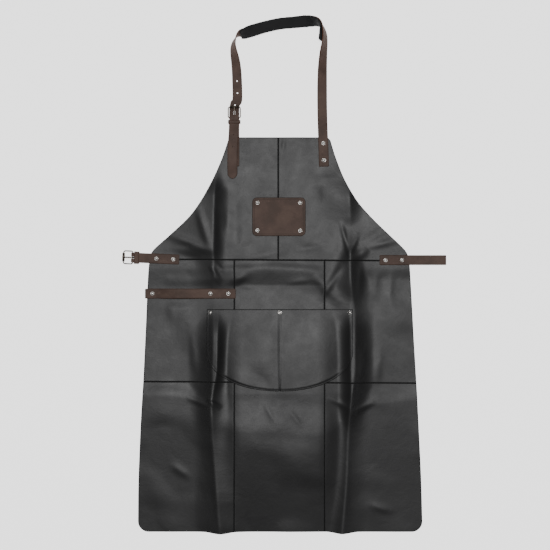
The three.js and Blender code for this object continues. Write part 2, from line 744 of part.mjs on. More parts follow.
// A keeper: a flat leather ring round the straps, square to its own X axis.
function keeperSolid(length, low, high) {
  const half = strap_width / 2 + 4 * clearance;
  const out = half + keeper_wall;
  const outer = new THREE.Shape(
    roundedOutline(-out, out, low - keeper_wall, high + keeper_wall, keeper_corner, 2),
  );
  outer.holes.push(new THREE.Path(roundedOutline(-half, half, low, high, bar_chamfer, 1)));
  const geometry = new THREE.ExtrudeGeometry(outer, { depth: length, bevelEnabled: false });
  geometry.translate(0, 0, -length / 2);
  geometry.rotateX(Math.PI / 2);
  geometry.rotateZ(Math.PI / 2);
  return solidOf(geometry);
}
const waist_keeper_top = heel_height + turn_radius + strap / 2 + clearance;
const waist_keeper_ring = keeperSolid(waist_keeper_length, keeper_wall, waist_keeper_top);
const waist_keeper_matrix = left_matrix.clone().multiply(placeMatrix(keeper_x, 0, rest_gap, 0));
const waist_keeper = placed(waist_keeper_ring, waist_keeper_matrix);

// A buckle in its own axes: the bar of its heel lies on Y, the frame runs along X, +Z is its face.
function buckle(length, width) {
  const outline = new THREE.Shape(
    roundedOutline(-buckle_bar / 2, length - buckle_bar / 2, -width / 2, width / 2, buckle_corner),
  );
  const inner = roundedOutline(
    buckle_bar / 2,
    length - 1.5 * buckle_bar,
    buckle_bar - width / 2,
    width / 2 - buckle_bar,
    bar_chamfer,
    1,
  );
  outline.holes.push(new THREE.Path(inner));
  const frame = new THREE.ExtrudeGeometry(outline, {
    depth: buckle_bar - 2 * bar_chamfer,
    bevelEnabled: true,
    bevelSize: bar_chamfer,
    bevelOffset: -bar_chamfer,
    bevelThickness: bar_chamfer,
    bevelSegments: 1,
  });
  frame.translate(0, 0, bar_chamfer - buckle_bar / 2);
  const tube = new THREE.Shape().absarc(0, 0, roller_radius, 0, 2 * Math.PI, false);
  tube.holes.push(new THREE.Path().absarc(0, 0, roller_radius - roller_wall, 0, 2 * Math.PI, true));
  const roller = new THREE.ExtrudeGeometry(tube, {
    depth: roller_length,
    bevelEnabled: false,
    curveSegments: 12,
  });
  roller.translate(0, 0, -roller_length / 2);
  roller.rotateX(Math.PI / 2);
  roller.translate(length - buckle_bar, 0, 0);
  return { frame, roller, prong: prongGeometry(length - buckle_bar, 0) };
}

// A prong from the side: a ring round the bar and an arm that ends on the roller.
function prongGeometry(reach, grown) {
  const shape = new THREE.Shape();
  const under = roller_radius + clearance - grown;
  const over = roller_radius + clearance + prong_thickness + grown;
  const outer = ring_outer + grown;
  const arm_top = Math.PI / 2 + 0.25;
  const arm_under = 2 * Math.PI + 0.35;
  shape.moveTo(reach + prong_past_bar + grown, under);
  shape.lineTo(reach + prong_past_bar + grown, over);
  shape.absarc(0, 0, outer, arm_top, arm_under, false);
  shape.closePath();
  if (!grown) shape.holes.push(new THREE.Path().absarc(0, 0, ring_inner, 0, 2 * Math.PI, true));
  const width = prong_width + 2 * grown;
  const geometry = new THREE.ExtrudeGeometry(shape, { depth: width, bevelEnabled: false, curveSegments: 10 });
  geometry.translate(0, 0, -width / 2);
  geometry.rotateX(Math.PI / 2);
  return geometry;
}

// The open waist buckle leans down to the left until its roller meets the surface.
const waist_buckle_reach = waist_buckle_length - buckle_bar;
const waist_lean = Math.asin((heel_height - roller_radius - rest_gap) / waist_buckle_reach);
const waist_buckle_matrix = left_matrix
  .clone()
  .multiply(new THREE.Matrix4().makeTranslation(heel_x, 0, heel_height))
  .multiply(new THREE.Matrix4().makeRotationY(-waist_lean))
  .multiply(new THREE.Matrix4().makeRotationZ(Math.PI));
const waist_buckle = buckle(waist_buckle_length, waist_buckle_width);

// The neck buckle lies level, its roller towards the neck.
const neck_buckle_x = -neck_half_width - neck_buckle_aside;
const neck_heel_y = bib_top_y + neck_buckle_over_bib;
const neck_matrix = new THREE.Matrix4()
  .makeRotationZ(Math.PI / 2)
  .setPosition(neck_buckle_x, neck_heel_y, heel_height);
const neck_buckle = buckle(neck_buckle_length, neck_buckle_width);

// The short strap that carries the neck buckle, riveted to the bib's left corner.
const bib_seat = on_panel + strap / 2;
const bend_reach = 4;
const neck_end_y = bib_top_y - neck_lap;
const neck_lower_end = bib_top_y + 3 * bend_reach;
const neck_keeper_y = neck_heel_y - neck_keeper_behind_bar - neck_keeper_length / 2;
const behind_neck_keeper = neck_keeper_y - neck_keeper_length / 2 - clearance;
const neck_line = [
  flat(neck_end_y, bib_seat),
  flat(bib_top_y - bend_reach, bib_seat),
  flat(behind_neck_keeper, heel_height + turn_radius),
  ...halfTurn(neck_heel_y, heel_height, turn_radius, 1),
  flat(behind_neck_keeper, lower_run),
  flat(neck_lower_end, lower_run - 2 * clearance),
];
const neck_slot = slotCut().translate(neck_heel_y + strap / 2, 0, heel_height);
const neck_band_matrix = placeMatrix(neck_buckle_x, 0, 0, 90);
let neck_buckle_strap = placed(
  bandSolid(neck_line, strap, strap_width, 0).subtract(solidOf(neck_slot)),
  neck_band_matrix,
);

// The long neck strap's stations, from its riveted end on the right to its tip on the left.
// Across is a share of the neck's half width, rise a share of the loop's height over the bib,
// roll turns its left-hand edge up, and high is its middle's height as a share of its width.
const neck_strap_right = [
  { across: 1.027, rise: -0.253, high: 0.145, roll: 0 },
  { across: 1.018, rise: -0.13, high: 0.145, roll: 0 },
  { across: 1.008, rise: -0.02, high: 0.145, roll: 0 },
  { across: 1.0, rise: 0.06, high: 0.125, roll: 0 },
  { across: 0.99, rise: 0.19, high: 0.068, roll: 0 },
  { across: 0.985, rise: 0.32, high: 0.08, roll: 2 },
  { across: 0.985, rise: 0.46, high: 0.14, roll: 9 },
  { across: 0.992, rise: 0.6, high: 0.27, roll: 24 },
  { across: 1.012, rise: 0.72, high: 0.42, roll: 40 },
  { across: 1.04, rise: 0.815, high: 0.66, roll: 55 },
  { across: 1.042, rise: 0.88, high: 0.76, roll: 64 },
  { across: 1.007, rise: 0.94, high: 0.78, roll: 78 },
  { across: 0.955, rise: 0.978, high: 0.76, roll: 96 },
  { across: 0.88, rise: 0.998, high: 0.58, roll: 120 },
  { across: 0.76, rise: 1.005, high: 0.37, roll: 145 },
  { across: 0.6, rise: 1.0, high: 0.18, roll: 168 },
  { across: 0.4, rise: 0.99, high: 0.075, roll: 180 },
  { across: 0.0, rise: 0.975, high: 0.068, roll: 180 },
  { across: -0.34, rise: 0.948, high: 0.068, roll: 180 },
  { across: -0.56, rise: 0.926, high: 0.12, roll: 174 },
  { across: -0.71, rise: 0.911, high: 0.23, roll: 162 },
  { across: -0.82, rise: 0.9, high: 0.34, roll: 148 },
  { across: -0.905, rise: 0.893, high: 0.46, roll: 130 },
  { across: -0.965, rise: 0.881, high: 0.51, roll: 108 },
  { across: -1.005, rise: 0.864, high: 0.53, roll: 92 },
  { across: -1.045, rise: 0.836, high: 0.53, roll: 78 },
  { across: -1.075, rise: 0.795, high: 0.5, roll: 64 },
  { across: -1.072, rise: 0.745, high: 0.44, roll: 49 },
  { across: -1.032, rise: 0.66, high: 0.3, roll: 28 },
  { across: -1.005, rise: 0.575, high: 0.19, roll: 14 },
  { across: -0.992, rise: 0.47, high: 0.1, roll: 4 },
  { across: -0.985, rise: 0.36, high: 0.068, roll: 0 },
  { across: -0.995, rise: 0.31, high: 0.068, roll: 0 },
];
const neckPoint = (row) =>
  new THREE.Vector3(
    row.across * neck_half_width,
    bib_top_y + row.rise * neck_loop_height,
    row.high * strap_width + clearance / 3,
  );
const front_bar_y = neck_heel_y + neck_buckle_length - buckle_bar;
const over_heel = heel_height + turn_radius + strap + clearance;
const rivet_top = on_panel + strap + clearance + rivet_dome;
const tail_seat = rivet_top + clearance + strap / 2;
const tail_tip_y = bib_top_y - neck_tail_lap;
const station = (aside, y, z) => ({
  point: new THREE.Vector3(neck_buckle_x - aside * neck_tail_aside, y, z),
  roll: 0,
});
const neck_stations = [
  ...neck_strap_right.map((row) => ({ point: neckPoint(row), roll: row.roll })),
  station(-0.5, front_bar_y + 2 * bend_reach, strap / 2 + clearance),
  station(-0.12, front_bar_y, strap / 2 + clearance / 2),
  station(0, front_bar_y - bend_reach, strap / 2 + 4 * clearance),
  station(0, neck_heel_y + bend_reach, over_heel - 3 * clearance),
  station(0, neck_heel_y, over_heel),
  station(0.1, neck_keeper_y, over_heel),
  station(0.2, neck_heel_y - 4 * bend_reach, over_heel),
  station(0.4, bib_top_y + 1.5 * bend_reach, tail_seat + clearance),
  station(0.85, bib_top_y - 5 * bend_reach, tail_seat),
  station(1, neck_end_y + 2 * bend_reach, tail_seat),
  station(1, tail_tip_y + 3 * bend_reach, bib_seat + 4 * clearance),
  station(1, tail_tip_y, bib_seat + clearance / 3),
];

// Stations spaced more closely along a smooth curve.
function refine(stations, pieces) {
  const points = new THREE.CatmullRomCurve3(stations.map((s) => s.point), false, "catmullrom", 0.5);
  const rolls = new THREE.CatmullRomCurve3(
    stations.map((s) => new THREE.Vector3(s.roll, 0, 0)),
    false,
    "catmullrom",
    0.5,
  );
  const count = (stations.length - 1) * pieces;
  const refined = [];
  for (let k = 0; k <= count; k++) {
    const t = k / count;
    refined.push({ point: points.getPoint(t), along: points.getTangent(t), roll: rolls.getPoint(t).x });
  }
  return refined;
}

// The two directions across a strap at a station: towards its left-hand edge, and out of its face.
function strapAxes(s) {
  const level = new THREE.Vector3().crossVectors(up, s.along).normalize();
  const rise = new THREE.Vector3().crossVectors(s.along, level).normalize();
  const angle = THREE.MathUtils.degToRad(s.roll);
  const aside = level.clone().multiplyScalar(Math.cos(angle)).addScaledVector(rise, Math.sin(angle));
  const face = rise.clone().multiplyScalar(Math.cos(angle)).addScaledVector(level, -Math.sin(angle));
  return { aside, face };
}
function strapRing(s, half_width, half_wall) {
  const { aside, face } = strapAxes(s);
  const corner = (a, b) => {
    const point = s.point.clone().addScaledVector(aside, a * half_width);
    return point.addScaledVector(face, b * half_wall);
  };
  return [corner(1, -1), corner(1, 1), corner(-1, 1), corner(-1, -1)];
}
const neck_pieces = 2;
const neck_refined = refine(neck_stations, neck_pieces);
const tipShare = (s) => {
  const left = THREE.MathUtils.clamp((s.point.y - tail_tip_y) / neck_tip_length, 0, 1);
  return s.point.x < 0 ? Math.max(Math.sqrt(1 - (1 - left) ** 2), 0.3) : 1;
};
const neck_last = neck_refined[neck_refined.length - 1];
const tip_rows = [0.42, 0.3, 0.15].map((share) => ({
  ...neck_refined[neck_refined.length - 2],
  point: neck_last.point.clone().setY(tail_tip_y + neck_tip_length * share),
}));
const neck_rows = [...neck_refined.slice(0, -1), ...tip_rows, neck_last];
function neckSkin(grown) {
  const half = (s) => (strap_width / 2) * tipShare(s) + grown;
  return solidOf(skin(neck_rows.map((s) => strapRing(s, half(s), strap / 2 + grown))));
}
let neck_strap = neckSkin(0);

// The holes along the strap's left run, above and below the buckle, and the one that the prong fills.
const left_run = neck_refined.filter((s) => s.point.x < 0);
function leftRunX(y) {
  const off = (s) => Math.abs(s.point.y - y);
  return left_run.reduce((best, s) => (off(s) < off(best) ? s : best)).point.x;
}
function drill(y) {
  const cutter = new THREE.CylinderGeometry(hole_radius, hole_radius, 2 * far, 10);
  cutter.rotateX(Math.PI / 2);
  cutter.translate(leftRunX(y), y, 0);
  neck_strap = neck_strap.subtract(solidOf(cutter));
}
for (let k = 0; k < neck_holes_above; k++) drill(neck_heel_y + first_hole_over_bar + k * neck_hole_spacing);
for (let k = 0; k < neck_holes_below; k++) drill(neck_heel_y - tail_hole_under_bar - k * neck_hole_spacing);
const prong_room = prongGeometry(neck_buckle_length - buckle_bar, clearance).applyMatrix4(neck_matrix);
neck_strap = neck_strap.subtract(solidOf(prong_room));

// The pad under the wearer's neck follows the strap's inner face.
// It reaches from the strap's tenth station to just short of its twenty-fourth.
const pad_gap = 2 * clearance;
const pad_first = 9 * neck_pieces;
const pad_last = 22.5 * neck_pieces;
const pad_squareness = 0.7;
function padRing(s, half, thick) {
  const sides = 10;
  const { aside, face } = strapAxes(s);
  const middle = s.point.clone().addScaledVector(face, -(strap / 2 + pad_gap + thick));
  const squared = (value) => Math.sign(value) * Math.abs(value) ** pad_squareness;
  const ring = [];
  for (let n = 0; n < sides; n++) {
    const angle = (2 * Math.PI * n) / sides;
    const point = middle.clone().addScaledVector(aside, half * squared(Math.cos(angle)));
    ring.push(point.addScaledVector(face, thick * squared(Math.sin(angle))));
  }
  return ring;
}
function padSolid() {
  const rounded_stations = 2.5;
  const rings = [];
  for (let k = pad_first; k <= pad_last; k++) {
    const near_end = Math.min(k - pad_first, pad_last - k, rounded_stations) / rounded_stations;
    const full = Math.sqrt(1 - (1 - near_end) ** 2);
    const half = (pad_width / 2) * Math.max(full, 0.35);
    const thick = (pad_thickness / 2) * Math.max(full, 0.5);
    rings.push(padRing(neck_refined[k], half, thick));
  }
  return solidOf(skin(rings));
}
const neck_pad = padSolid().subtract(neckSkin(clearance));

// The keeper round the short strap's two layers and the tail.
const neck_keeper_top = over_heel + strap / 2 + 2 * clearance;
const neck_keeper_ring = keeperSolid(neck_keeper_length, keeper_wall, neck_keeper_top);
const neck_keeper_matrix = neck_band_matrix.clone().multiply(placeMatrix(neck_keeper_y, 0, rest_gap, 0));
const neck_keeper = placed(neck_keeper_ring, neck_keeper_matrix);

// Rivets: a domed cap, a post through the layers, and a flat cap let into the lowest layer.
function rivetGeometry(height) {
  const profile = [
    flat(0, 0),
    flat(rivet_back_radius, 0),
    flat(rivet_back_radius, rivet_back),
    flat(rivet_post, rivet_back),
    flat(rivet_post, height + clearance),
    flat(rivet_radius, height + clearance),
    flat(rivet_radius, height + clearance + rivet_rim),
    flat(rivet_radius * 0.72, height + clearance + rivet_dome * 0.78),
    flat(0, height + clearance + rivet_dome),
  ];
  const geometry = new THREE.LatheGeometry(profile, 8);
  geometry.rotateX(Math.PI / 2);
  return geometry;
}

// How far a wall stands over the plane of the facet under a rivet, anywhere under the rivet's cap.
function highestUnder(x, y, seat, over) {
  let highest = 0;
  for (const ring of [0, 0.35, 0.7, 1]) {
    for (let k = 0; k < 12; k++) {
      const dx = ring * rivet_radius * Math.cos((k * Math.PI) / 6);
      const dy = ring * rivet_radius * Math.sin((k * Math.PI) / 6);
      const plane = seat.height - (seat.normal.x * dx + seat.normal.y * dy) / seat.normal.z;
      highest = Math.max(highest, facetAt(x + dx, y + dy, over).height - plane);
    }
  }
  return highest;
}

// Places a rivet square to a direction and bores the layers that it joins.
function rivet(name, x, y, bottom, height, layers, square = up) {
  const turn = new THREE.Quaternion().setFromUnitVectors(up, square);
  const matrix = new THREE.Matrix4().makeRotationFromQuaternion(turn).setPosition(x, y, bottom);
  const bore = new THREE.CylinderGeometry(post_hole, post_hole, 2 * far, 8).rotateX(Math.PI / 2);
  const recess_depth = rivet_back + clearance;
  const recess_radius = rivet_back_radius + clearance;
  const recess = new THREE.CylinderGeometry(recess_radius, recess_radius, far, 8);
  recess.rotateX(Math.PI / 2);
  recess.translate(0, 0, recess_depth - far / 2);
  const cutter = placed(bore, matrix).add(placed(recess, matrix));
  layers.forEach((layer) => {
    layer.set(layer.get().subtract(cutter));
  });
  addPiece(name, placed(rivetGeometry(height), matrix), nickel);
}

// A rivet through a wall that follows the sheet, square to the facet under it.
function rivetThrough(name, x, y, over, wall, layers) {
  const seat = facetAt(x, y);
  rivet(name, x, y, seat.height, highestUnder(x, y, seat, over) + wall, layers, seat.normal);
}
const panel = (name) => ({
  get: () => panels[name],
  set: (solid) => {
    panels[name] = solid;
  },
});
const patch_layer = { get: () => patch, set: (solid) => (patch = solid) };
const pocket_layer = { get: () => pocket, set: (solid) => (pocket = solid) };
const towel_layer = { get: () => towel_strap, set: (solid) => (towel_strap = solid) };
const right_layer = { get: () => waist_strap_right, set: (solid) => (waist_strap_right = solid) };
const left_layer = { get: () => waist_strap_left, set: (solid) => (waist_strap_left = solid) };
const neck_layer = { get: () => neck_strap, set: (solid) => (neck_strap = solid) };
const short_layer = { get: () => neck_buckle_strap, set: (solid) => (neck_buckle_strap = solid) };

const patch_rivet_x = patch_length / 2 - patch_rivet_inset;
const patch_rivet_y = patch_height / 2 - patch_rivet_inset;
for (const [side, sx] of [["left", -1], ["right", 1]]) {
  for (const [end, sy] of [["low", -1], ["high", 1]]) {
    const x = patch_x + sx * patch_rivet_x;
    const y = patch_y + sy * patch_rivet_y;
    const layers = [panel(`bib_${side}`), patch_layer];
    rivetThrough(`patch_rivet_${side}_${end}`, x, y, () => on_panel, patch_leather, layers);
  }
}
const pocket_rivet_x = pocket_half - pocket_rivet_inset;
const pocket_rivets = [
  ["pocket_rivet_left", -pocket_rivet_x, "waist_left"],
  ["pocket_rivet_middle", 0, "waist_centre"],
  ["pocket_rivet_right", pocket_rivet_x, "waist_right"],
];
for (const [name, x, below] of pocket_rivets) {
  rivetThrough(name, x, pocket_rivet_y, pocketOver, leather, [panel(below), pocket_layer]);
}
function highestAlong(line, x, reach) {
  const heights = [x - reach, x, x + reach].map((place) => {
    const next = line.findIndex((p) => p.x >= place);
    const [a, b] = [line[next - 1], line[next]];
    return THREE.MathUtils.lerp(a.y, b.y, (place - a.x) / (b.x - a.x));
  });
  return Math.max(...heights);
}
towel_rivets.forEach((x, k) => {
  const seat = facetAt(x, towel_y).height;
  const height = highestAlong(towel_line, x, rivet_radius) + strap / 2 - seat;
  rivet(`towel_rivet_${k + 1}`, x, towel_y, seat, height, [panel("waist_left"), towel_layer]);
});
const front_stack = on_panel + strap;
const both_runs = tunnel_height + front_stack - rest_gap;
const right_panels = [panel("bib_right"), panel("waist_right")];
const right_rivets = [waist_right_x + waist_rivet_inset, waist_right_edge - waist_edge_inset];
right_rivets.forEach((x, k) => {
  rivet(`waist_right_rivet_${k + 1}`, x, waist_seam_up, rest_gap, both_runs, [right_layer, ...right_panels]);
});
const left_panels = [panel("bib_left"), panel("waist_left")];
const inner_x = waist_left_lap - waist_edge_inset - waist_rivet_inset;
const inner = new THREE.Vector3(inner_x, 0, 0).applyMatrix4(left_matrix);
rivet("waist_left_rivet_1", left_pivot_x, left_pivot_y, rest_gap, both_runs, [left_layer, ...left_panels]);
rivet("waist_left_rivet_2", inner.x, inner.y, tunnel_height, front_stack, [left_layer, ...left_panels]);
const right_run = neck_strap_right.slice(0, 4);
[bib_top_y - neck_rivet_inset, neck_end_y + neck_rivet_inset].forEach((y, k) => {
  const share = (y - bib_top_y) / neck_loop_height;
  const right_x = neck_half_width * follow(right_run, "rise", "across", share);
  rivet(`neck_right_rivet_${k + 1}`, right_x, y, 0, front_stack, [panel("bib_right"), neck_layer]);
  rivet(`neck_left_rivet_${k + 1}`, neck_buckle_x, y, 0, front_stack, [panel("bib_left"), short_layer]);
});

// The pieces
for (const [name, solid] of Object.entries(panels)) addPiece(name, solid, leather_black);
addPiece("pocket", pocket, leather_black);
addPiece("patch", patch, leather_brown);
addPiece("towel_strap", towel_strap, leather_brown);
addPiece("waist_strap_right", waist_strap_right, leather_brown);
addPiece("waist_strap_left", waist_strap_left, leather_brown);
addPiece("waist_keeper", waist_keeper, leather_brown);
addPiece("neck_strap", neck_strap, leather_brown);
addPiece("neck_buckle_strap", neck_buckle_strap, leather_brown);
addPiece("neck_keeper", neck_keeper, leather_brown);
addPiece("neck_pad", neck_pad, pad_black);
for (const [name, parts, matrix] of [
  ["waist_buckle", waist_buckle, waist_buckle_matrix],
  ["neck_buckle", neck_buckle, neck_matrix],
]) {
  addPiece(`${name}_frame`, placed(parts.frame, matrix), bronze);
  addPiece(`${name}_roller`, placed(parts.roller, matrix), bronze);
  addPiece(`${name}_prong`, placed(parts.prong, matrix), bronze);
}

export default apron;
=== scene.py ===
"""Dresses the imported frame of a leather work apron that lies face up."""
import math

import bpy
import numpy as np
from bpy.props import FloatProperty, FloatVectorProperty, IntProperty, PointerProperty
from mathutils import Matrix, Vector


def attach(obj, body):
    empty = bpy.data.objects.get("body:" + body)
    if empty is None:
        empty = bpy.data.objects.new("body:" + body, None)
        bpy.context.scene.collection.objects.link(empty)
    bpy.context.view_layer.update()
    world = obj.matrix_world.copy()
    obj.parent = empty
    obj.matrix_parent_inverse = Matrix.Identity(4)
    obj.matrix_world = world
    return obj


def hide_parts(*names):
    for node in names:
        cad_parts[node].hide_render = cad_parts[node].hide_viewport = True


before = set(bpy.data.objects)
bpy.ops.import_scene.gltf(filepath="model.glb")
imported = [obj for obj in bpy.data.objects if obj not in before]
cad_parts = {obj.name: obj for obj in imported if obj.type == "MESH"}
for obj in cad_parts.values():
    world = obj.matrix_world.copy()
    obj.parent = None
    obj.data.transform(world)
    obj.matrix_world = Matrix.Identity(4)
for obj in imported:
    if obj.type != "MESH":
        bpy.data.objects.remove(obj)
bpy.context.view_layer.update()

bl_info = {
    "name": "Leather Work Apron",
    "version": (1, 0, 0),
    "blender": (4, 5, 0),
    "location": "3D View > Sidebar > Apron",
    "description": "Makes a leather work apron with its straps, buckles, rivets, pocket and neck pad",
    "category": "Add Mesh",
}

# The frame's sizes in millimetres, as the solids have them
MM = 0.001
HEIGHT, HALF, HEM = 840.0, 303.0, -387.0
TOP = HEM + HEIGHT
LEATHER, GAP, STRAP, STRAP_WIDTH = 1.6, 0.3, 2.2, 21.0
HEM_CORNER, BIB_CORNER, HEM_BULGE = 23.0, 9.0, 4.0
WAIST, SKIRT, TILT = 191.5, -68.5, 0.006
CREASE, CREASE_FOOT, FOLD_FOOT = 9.0, 36.0, 60.0
CREASE_RISE, OUTER_FLANK, INNER_FLANK = 1.35, 1.85, 1.5
WAIST_RISE, SKIRT_RISE = 4.6, 5.0
CLIMB, CLIMB_MIDDLE, CLIMB_LOW = 5.0, 10.5, 92.0
TUNNEL, TUNNEL_FLAT, TUNNEL_SHOULDER = STRAP + GAP, STRAP_WIDTH / 2 + 5, 14.0
BIB_SEAM, SKIRT_SEAMS = -0.011 * HALF, (-0.32 * HALF, 0.3145 * HALF)
ON_PANEL = LEATHER + GAP
RIVET = 3.85
POCKET_HALF, POCKET_MOUTH, POCKET_DEPTH = 155.0, 87.0, 86.5
POCKET_ROUND, POCKET_BULGE, STITCH_INSET = 0.93, 1.6, 3.4
PATCH = (-1.8, 283.7, 113.5, 82.0, 10.0, 2.0)
BAR, RING_IN, RING_OUT, HEEL = 2.4, 1.689, 2.889, 5.689
ROLLER, ROLLER_WALL, ROLLER_LENGTH = 2.8, 0.9, 18.0
TURN = RING_IN + STRAP / 2
OVER_HEEL, UNDER_HEEL = HEEL + TURN, HEEL - TURN
FRONT = TUNNEL + ON_PANEL + STRAP / 2
PRONG_SLOT = (2 * RING_OUT + 2 * STRAP, 3 + 4 * GAP, 4 * RING_OUT)
NECK_X, NECK_HEEL = -96.7, 493.5
NECK_WIDE, NECK_HIGH = 91.5, 247.0
SEATED = 0.02
PAD_WIDTH, PAD_WALL = 27.0, 4.8

# The stage, in metres
CAMERA, KEY, KEY_AIM, KEY_SIZE = (-0.0102, 0.15975, 3.254), (0.0, 0.72, 5.1), (0.0, 0.1, 0.0), (1.3, 1.0)

# Share of the height, left edge, right edge, as shares of the half width
SIDES = [
    (-0.05, -0.998, 1.004), (0.0, -0.997, 1.003), (0.13, -0.992, 0.993), (0.26, -0.977, 0.975),
    (0.376, -0.959, 0.959), (0.51, -0.942, 0.938), (0.64, -0.927, 0.919), (0.69, -0.915, 0.907),
    (0.704, -0.906, 0.896), (0.718, -0.878, 0.869), (0.754, -0.766, 0.765), (0.798, -0.637, 0.641),
    (0.839, -0.553, 0.543), (0.891, -0.474, 0.458), (0.948, -0.405, 0.394), (1.0, -0.357, 0.35),
    (1.05, -0.32, 0.31),
]

# The two long creases: share of the height, place across, rise, outer foot, inner foot
CREASES = [
    (-1, [
        (1.05, -0.44, 0, 1.2, 0.6), (0.9, -0.455, 0.2, 1.8, 0.5), (0.85, -0.462, 0.9, 2.4, 0.55),
        (0.72, -0.467, 1.05, 2.0, 0.6), (0.69, -0.467, 0.8, 0.9, 0.6), (0.645, -0.463, 0.6, 0.8, 0.8),
        (0.605, -0.458, 0.12, 0.6, 0.6), (0.558, -0.452, 0.3, 0.6, 0.6), (0.5, -0.45, 1.15, 0.75, 0.42),
        (0.4, -0.458, 1.2, 0.78, 0.42), (0.326, -0.478, 1.1, 0.75, 0.7), (0.232, -0.469, 0.85, 0.7, 1.1),
        (0.13, -0.448, 0.8, 0.75, 1.2), (-0.05, -0.409, 0.7, 0.75, 1.2),
    ]),
    (1, [
        (1.05, 0.45, 0, 0.4, 0.5), (0.9, 0.478, 0, 0.4, 1.2), (0.85, 0.488, 0.55, 0.4, 1.6),
        (0.8, 0.492, 0.3, 0.4, 1.2), (0.765, 0.492, 0.05, 0.4, 0.5), (0.73, 0.492, 0.35, 0.4, 0.4),
        (0.7, 0.493, 0.75, 0.5, 0.6), (0.64, 0.497, 1.1, 0.6, 1.1), (0.59, 0.508, 0.6, 0.6, 1.1),
        (0.555, 0.51, 0.5, 0.6, 0.7), (0.5, 0.512, 1.1, 0.6, 0.55), (0.385, 0.508, 1.2, 0.62, 0.5),
        (0.31, 0.493, 1.1, 0.7, 0.5), (0.25, 0.481, 0.7, 0.7, 0.5), (0.12, 0.467, 0.6, 0.7, 0.5),
        (-0.05, 0.425, 0.65, 0.7, 0.5),
    ]),
]

# The cross folds: place across, share of the height, rise, foot above, foot below
WAIST_FOLD = [
    (-1.1, 0.655, 0, 0.4, 0.6), (-0.5, 0.655, 0, 0.4, 0.6), (-0.38, 0.66, 0.9, 0.4, 0.6),
    (-0.1, 0.665, 1, 0.42, 0.6), (0.2, 0.66, 1, 0.42, 0.65), (0.38, 0.65, 0.7, 0.45, 0.7),
    (0.52, 0.645, 0, 0.45, 0.7), (1.1, 0.645, 0, 0.45, 0.7),
]
SKIRT_FOLD = [
    (-1.1, 0.343, 0.6, 0.5, 0.45), (-0.74, 0.343, 0.8, 0.5, 0.45), (-0.53, 0.322, 0.7, 0.5, 0.45),
    (-0.4, 0.272, 0.7, 0.8, 0.45), (-0.3, 0.257, 1, 1, 0.45), (0.0, 0.257, 1, 1, 0.45),
    (0.16, 0.246, 1, 1, 0.45), (0.32, 0.252, 0.8, 0.9, 0.45), (0.44, 0.277, 0.5, 0.6, 0.45),
    (0.51, 0.308, 0.7, 0.6, 0.45), (0.7, 0.323, 0.8, 0.6, 0.45), (1.1, 0.34, 0.6, 0.6, 0.45),
]

# The long neck strap from its riveted end: across, rise, height as a share of its width, roll in degrees
NECK_RUN = [
    (1.027, -0.253, 0.145, 0), (1.018, -0.13, 0.145, 0), (1.008, -0.02, 0.145, 0), (1.0, 0.06, 0.125, 0),
    (0.99, 0.19, 0.068, 0), (0.985, 0.32, 0.08, 2), (0.985, 0.46, 0.14, 9), (0.992, 0.6, 0.27, 24),
    (1.012, 0.72, 0.42, 40), (1.04, 0.815, 0.66, 55), (1.042, 0.88, 0.76, 64), (1.007, 0.94, 0.78, 78),
    (0.955, 0.978, 0.76, 96), (0.88, 0.998, 0.58, 120), (0.76, 1.005, 0.37, 145), (0.6, 1.0, 0.18, 168),
    (0.4, 0.99, 0.075, 180), (0.0, 0.975, 0.068, 180), (-0.34, 0.948, 0.068, 180), (-0.56, 0.926, 0.12, 174),
    (-0.71, 0.911, 0.23, 162), (-0.82, 0.9, 0.34, 148), (-0.905, 0.893, 0.46, 130),
    (-0.965, 0.881, 0.51, 108), (-1.005, 0.864, 0.53, 92), (-1.045, 0.836, 0.53, 78),
    (-1.075, 0.795, 0.5, 64), (-1.072, 0.745, 0.44, 49), (-1.032, 0.66, 0.3, 28),
    (-1.005, 0.575, 0.19, 14), (-0.992, 0.47, 0.1, 4), (-0.985, 0.36, 0.068, 0), (-0.995, 0.31, 0.068, 0),
]

# Small folds that lie on the leather: from x, y to x, y, width and height
SMALL_FOLDS = [
    (150, 199, 246, 235, 9, 2.2), (132, 186, 190, 206, 8, 1.2), (170, 222, 232, 262, 10, 1.2),
    (-146, 176, -126, 150, 4, 1.4), (-140, 160, -122, 132, 4, 1.3), (-134, 182, -120, 168, 4, 1.0),
    (-151, -106, -127, -118, 3.5, 2.2), (-147, -112, -130, -124, 3, 1.4),
    (90, 113, 128, 172, 8, 2.2), (172, 178, 168, 120, 7, 1.1), (205, 172, 201, 112, 9, 1.0),
    (236, 168, 233, 100, 9, 1.0), (176, -2, 170, -70, 7, 1.2), (214, 4, 206, -62, 9, 1.0),
    (-226, -246, -196, -268, 8, 1.5), (196, -330, 232, -342, 8, 1.4), (-190, 60, -180, -40, 8, 0.8),
    (-236, 150, -228, 60, 10, 0.8), (66, 150, 20, 143, 6, 0.7), (-60, 132, -104, 140, 6, 0.7),
    (-70, 162, -104, 140, 12, 2.6), (72, 160, 124, 108, 12, 2.8), (-244, 249, -146, 211, 9, 1.8),
    (-174, 300, -150, 222, 8, 1.8), (131, 268, 146, 208, 5, 1.6), (166, 244, 150, 206, 5, 1.6),
    (154, -132, 196, -111, 6, 1.6), (107, -102, 147, -123, 6, 1.5), (-191, -102, -146, -119, 6, 1.5),
    (-30, -116, -12, -150, 6, 1.0), (20, -128, 44, -158, 6, 1.1), (9, 447, 7, 426, 5, 0.9),
    (-122, 300, -118, 236, 9, 0.9), (-64, 196, 10, 212, 9, 1.0), (40, 214, 96, 226, 9, 0.9),
]


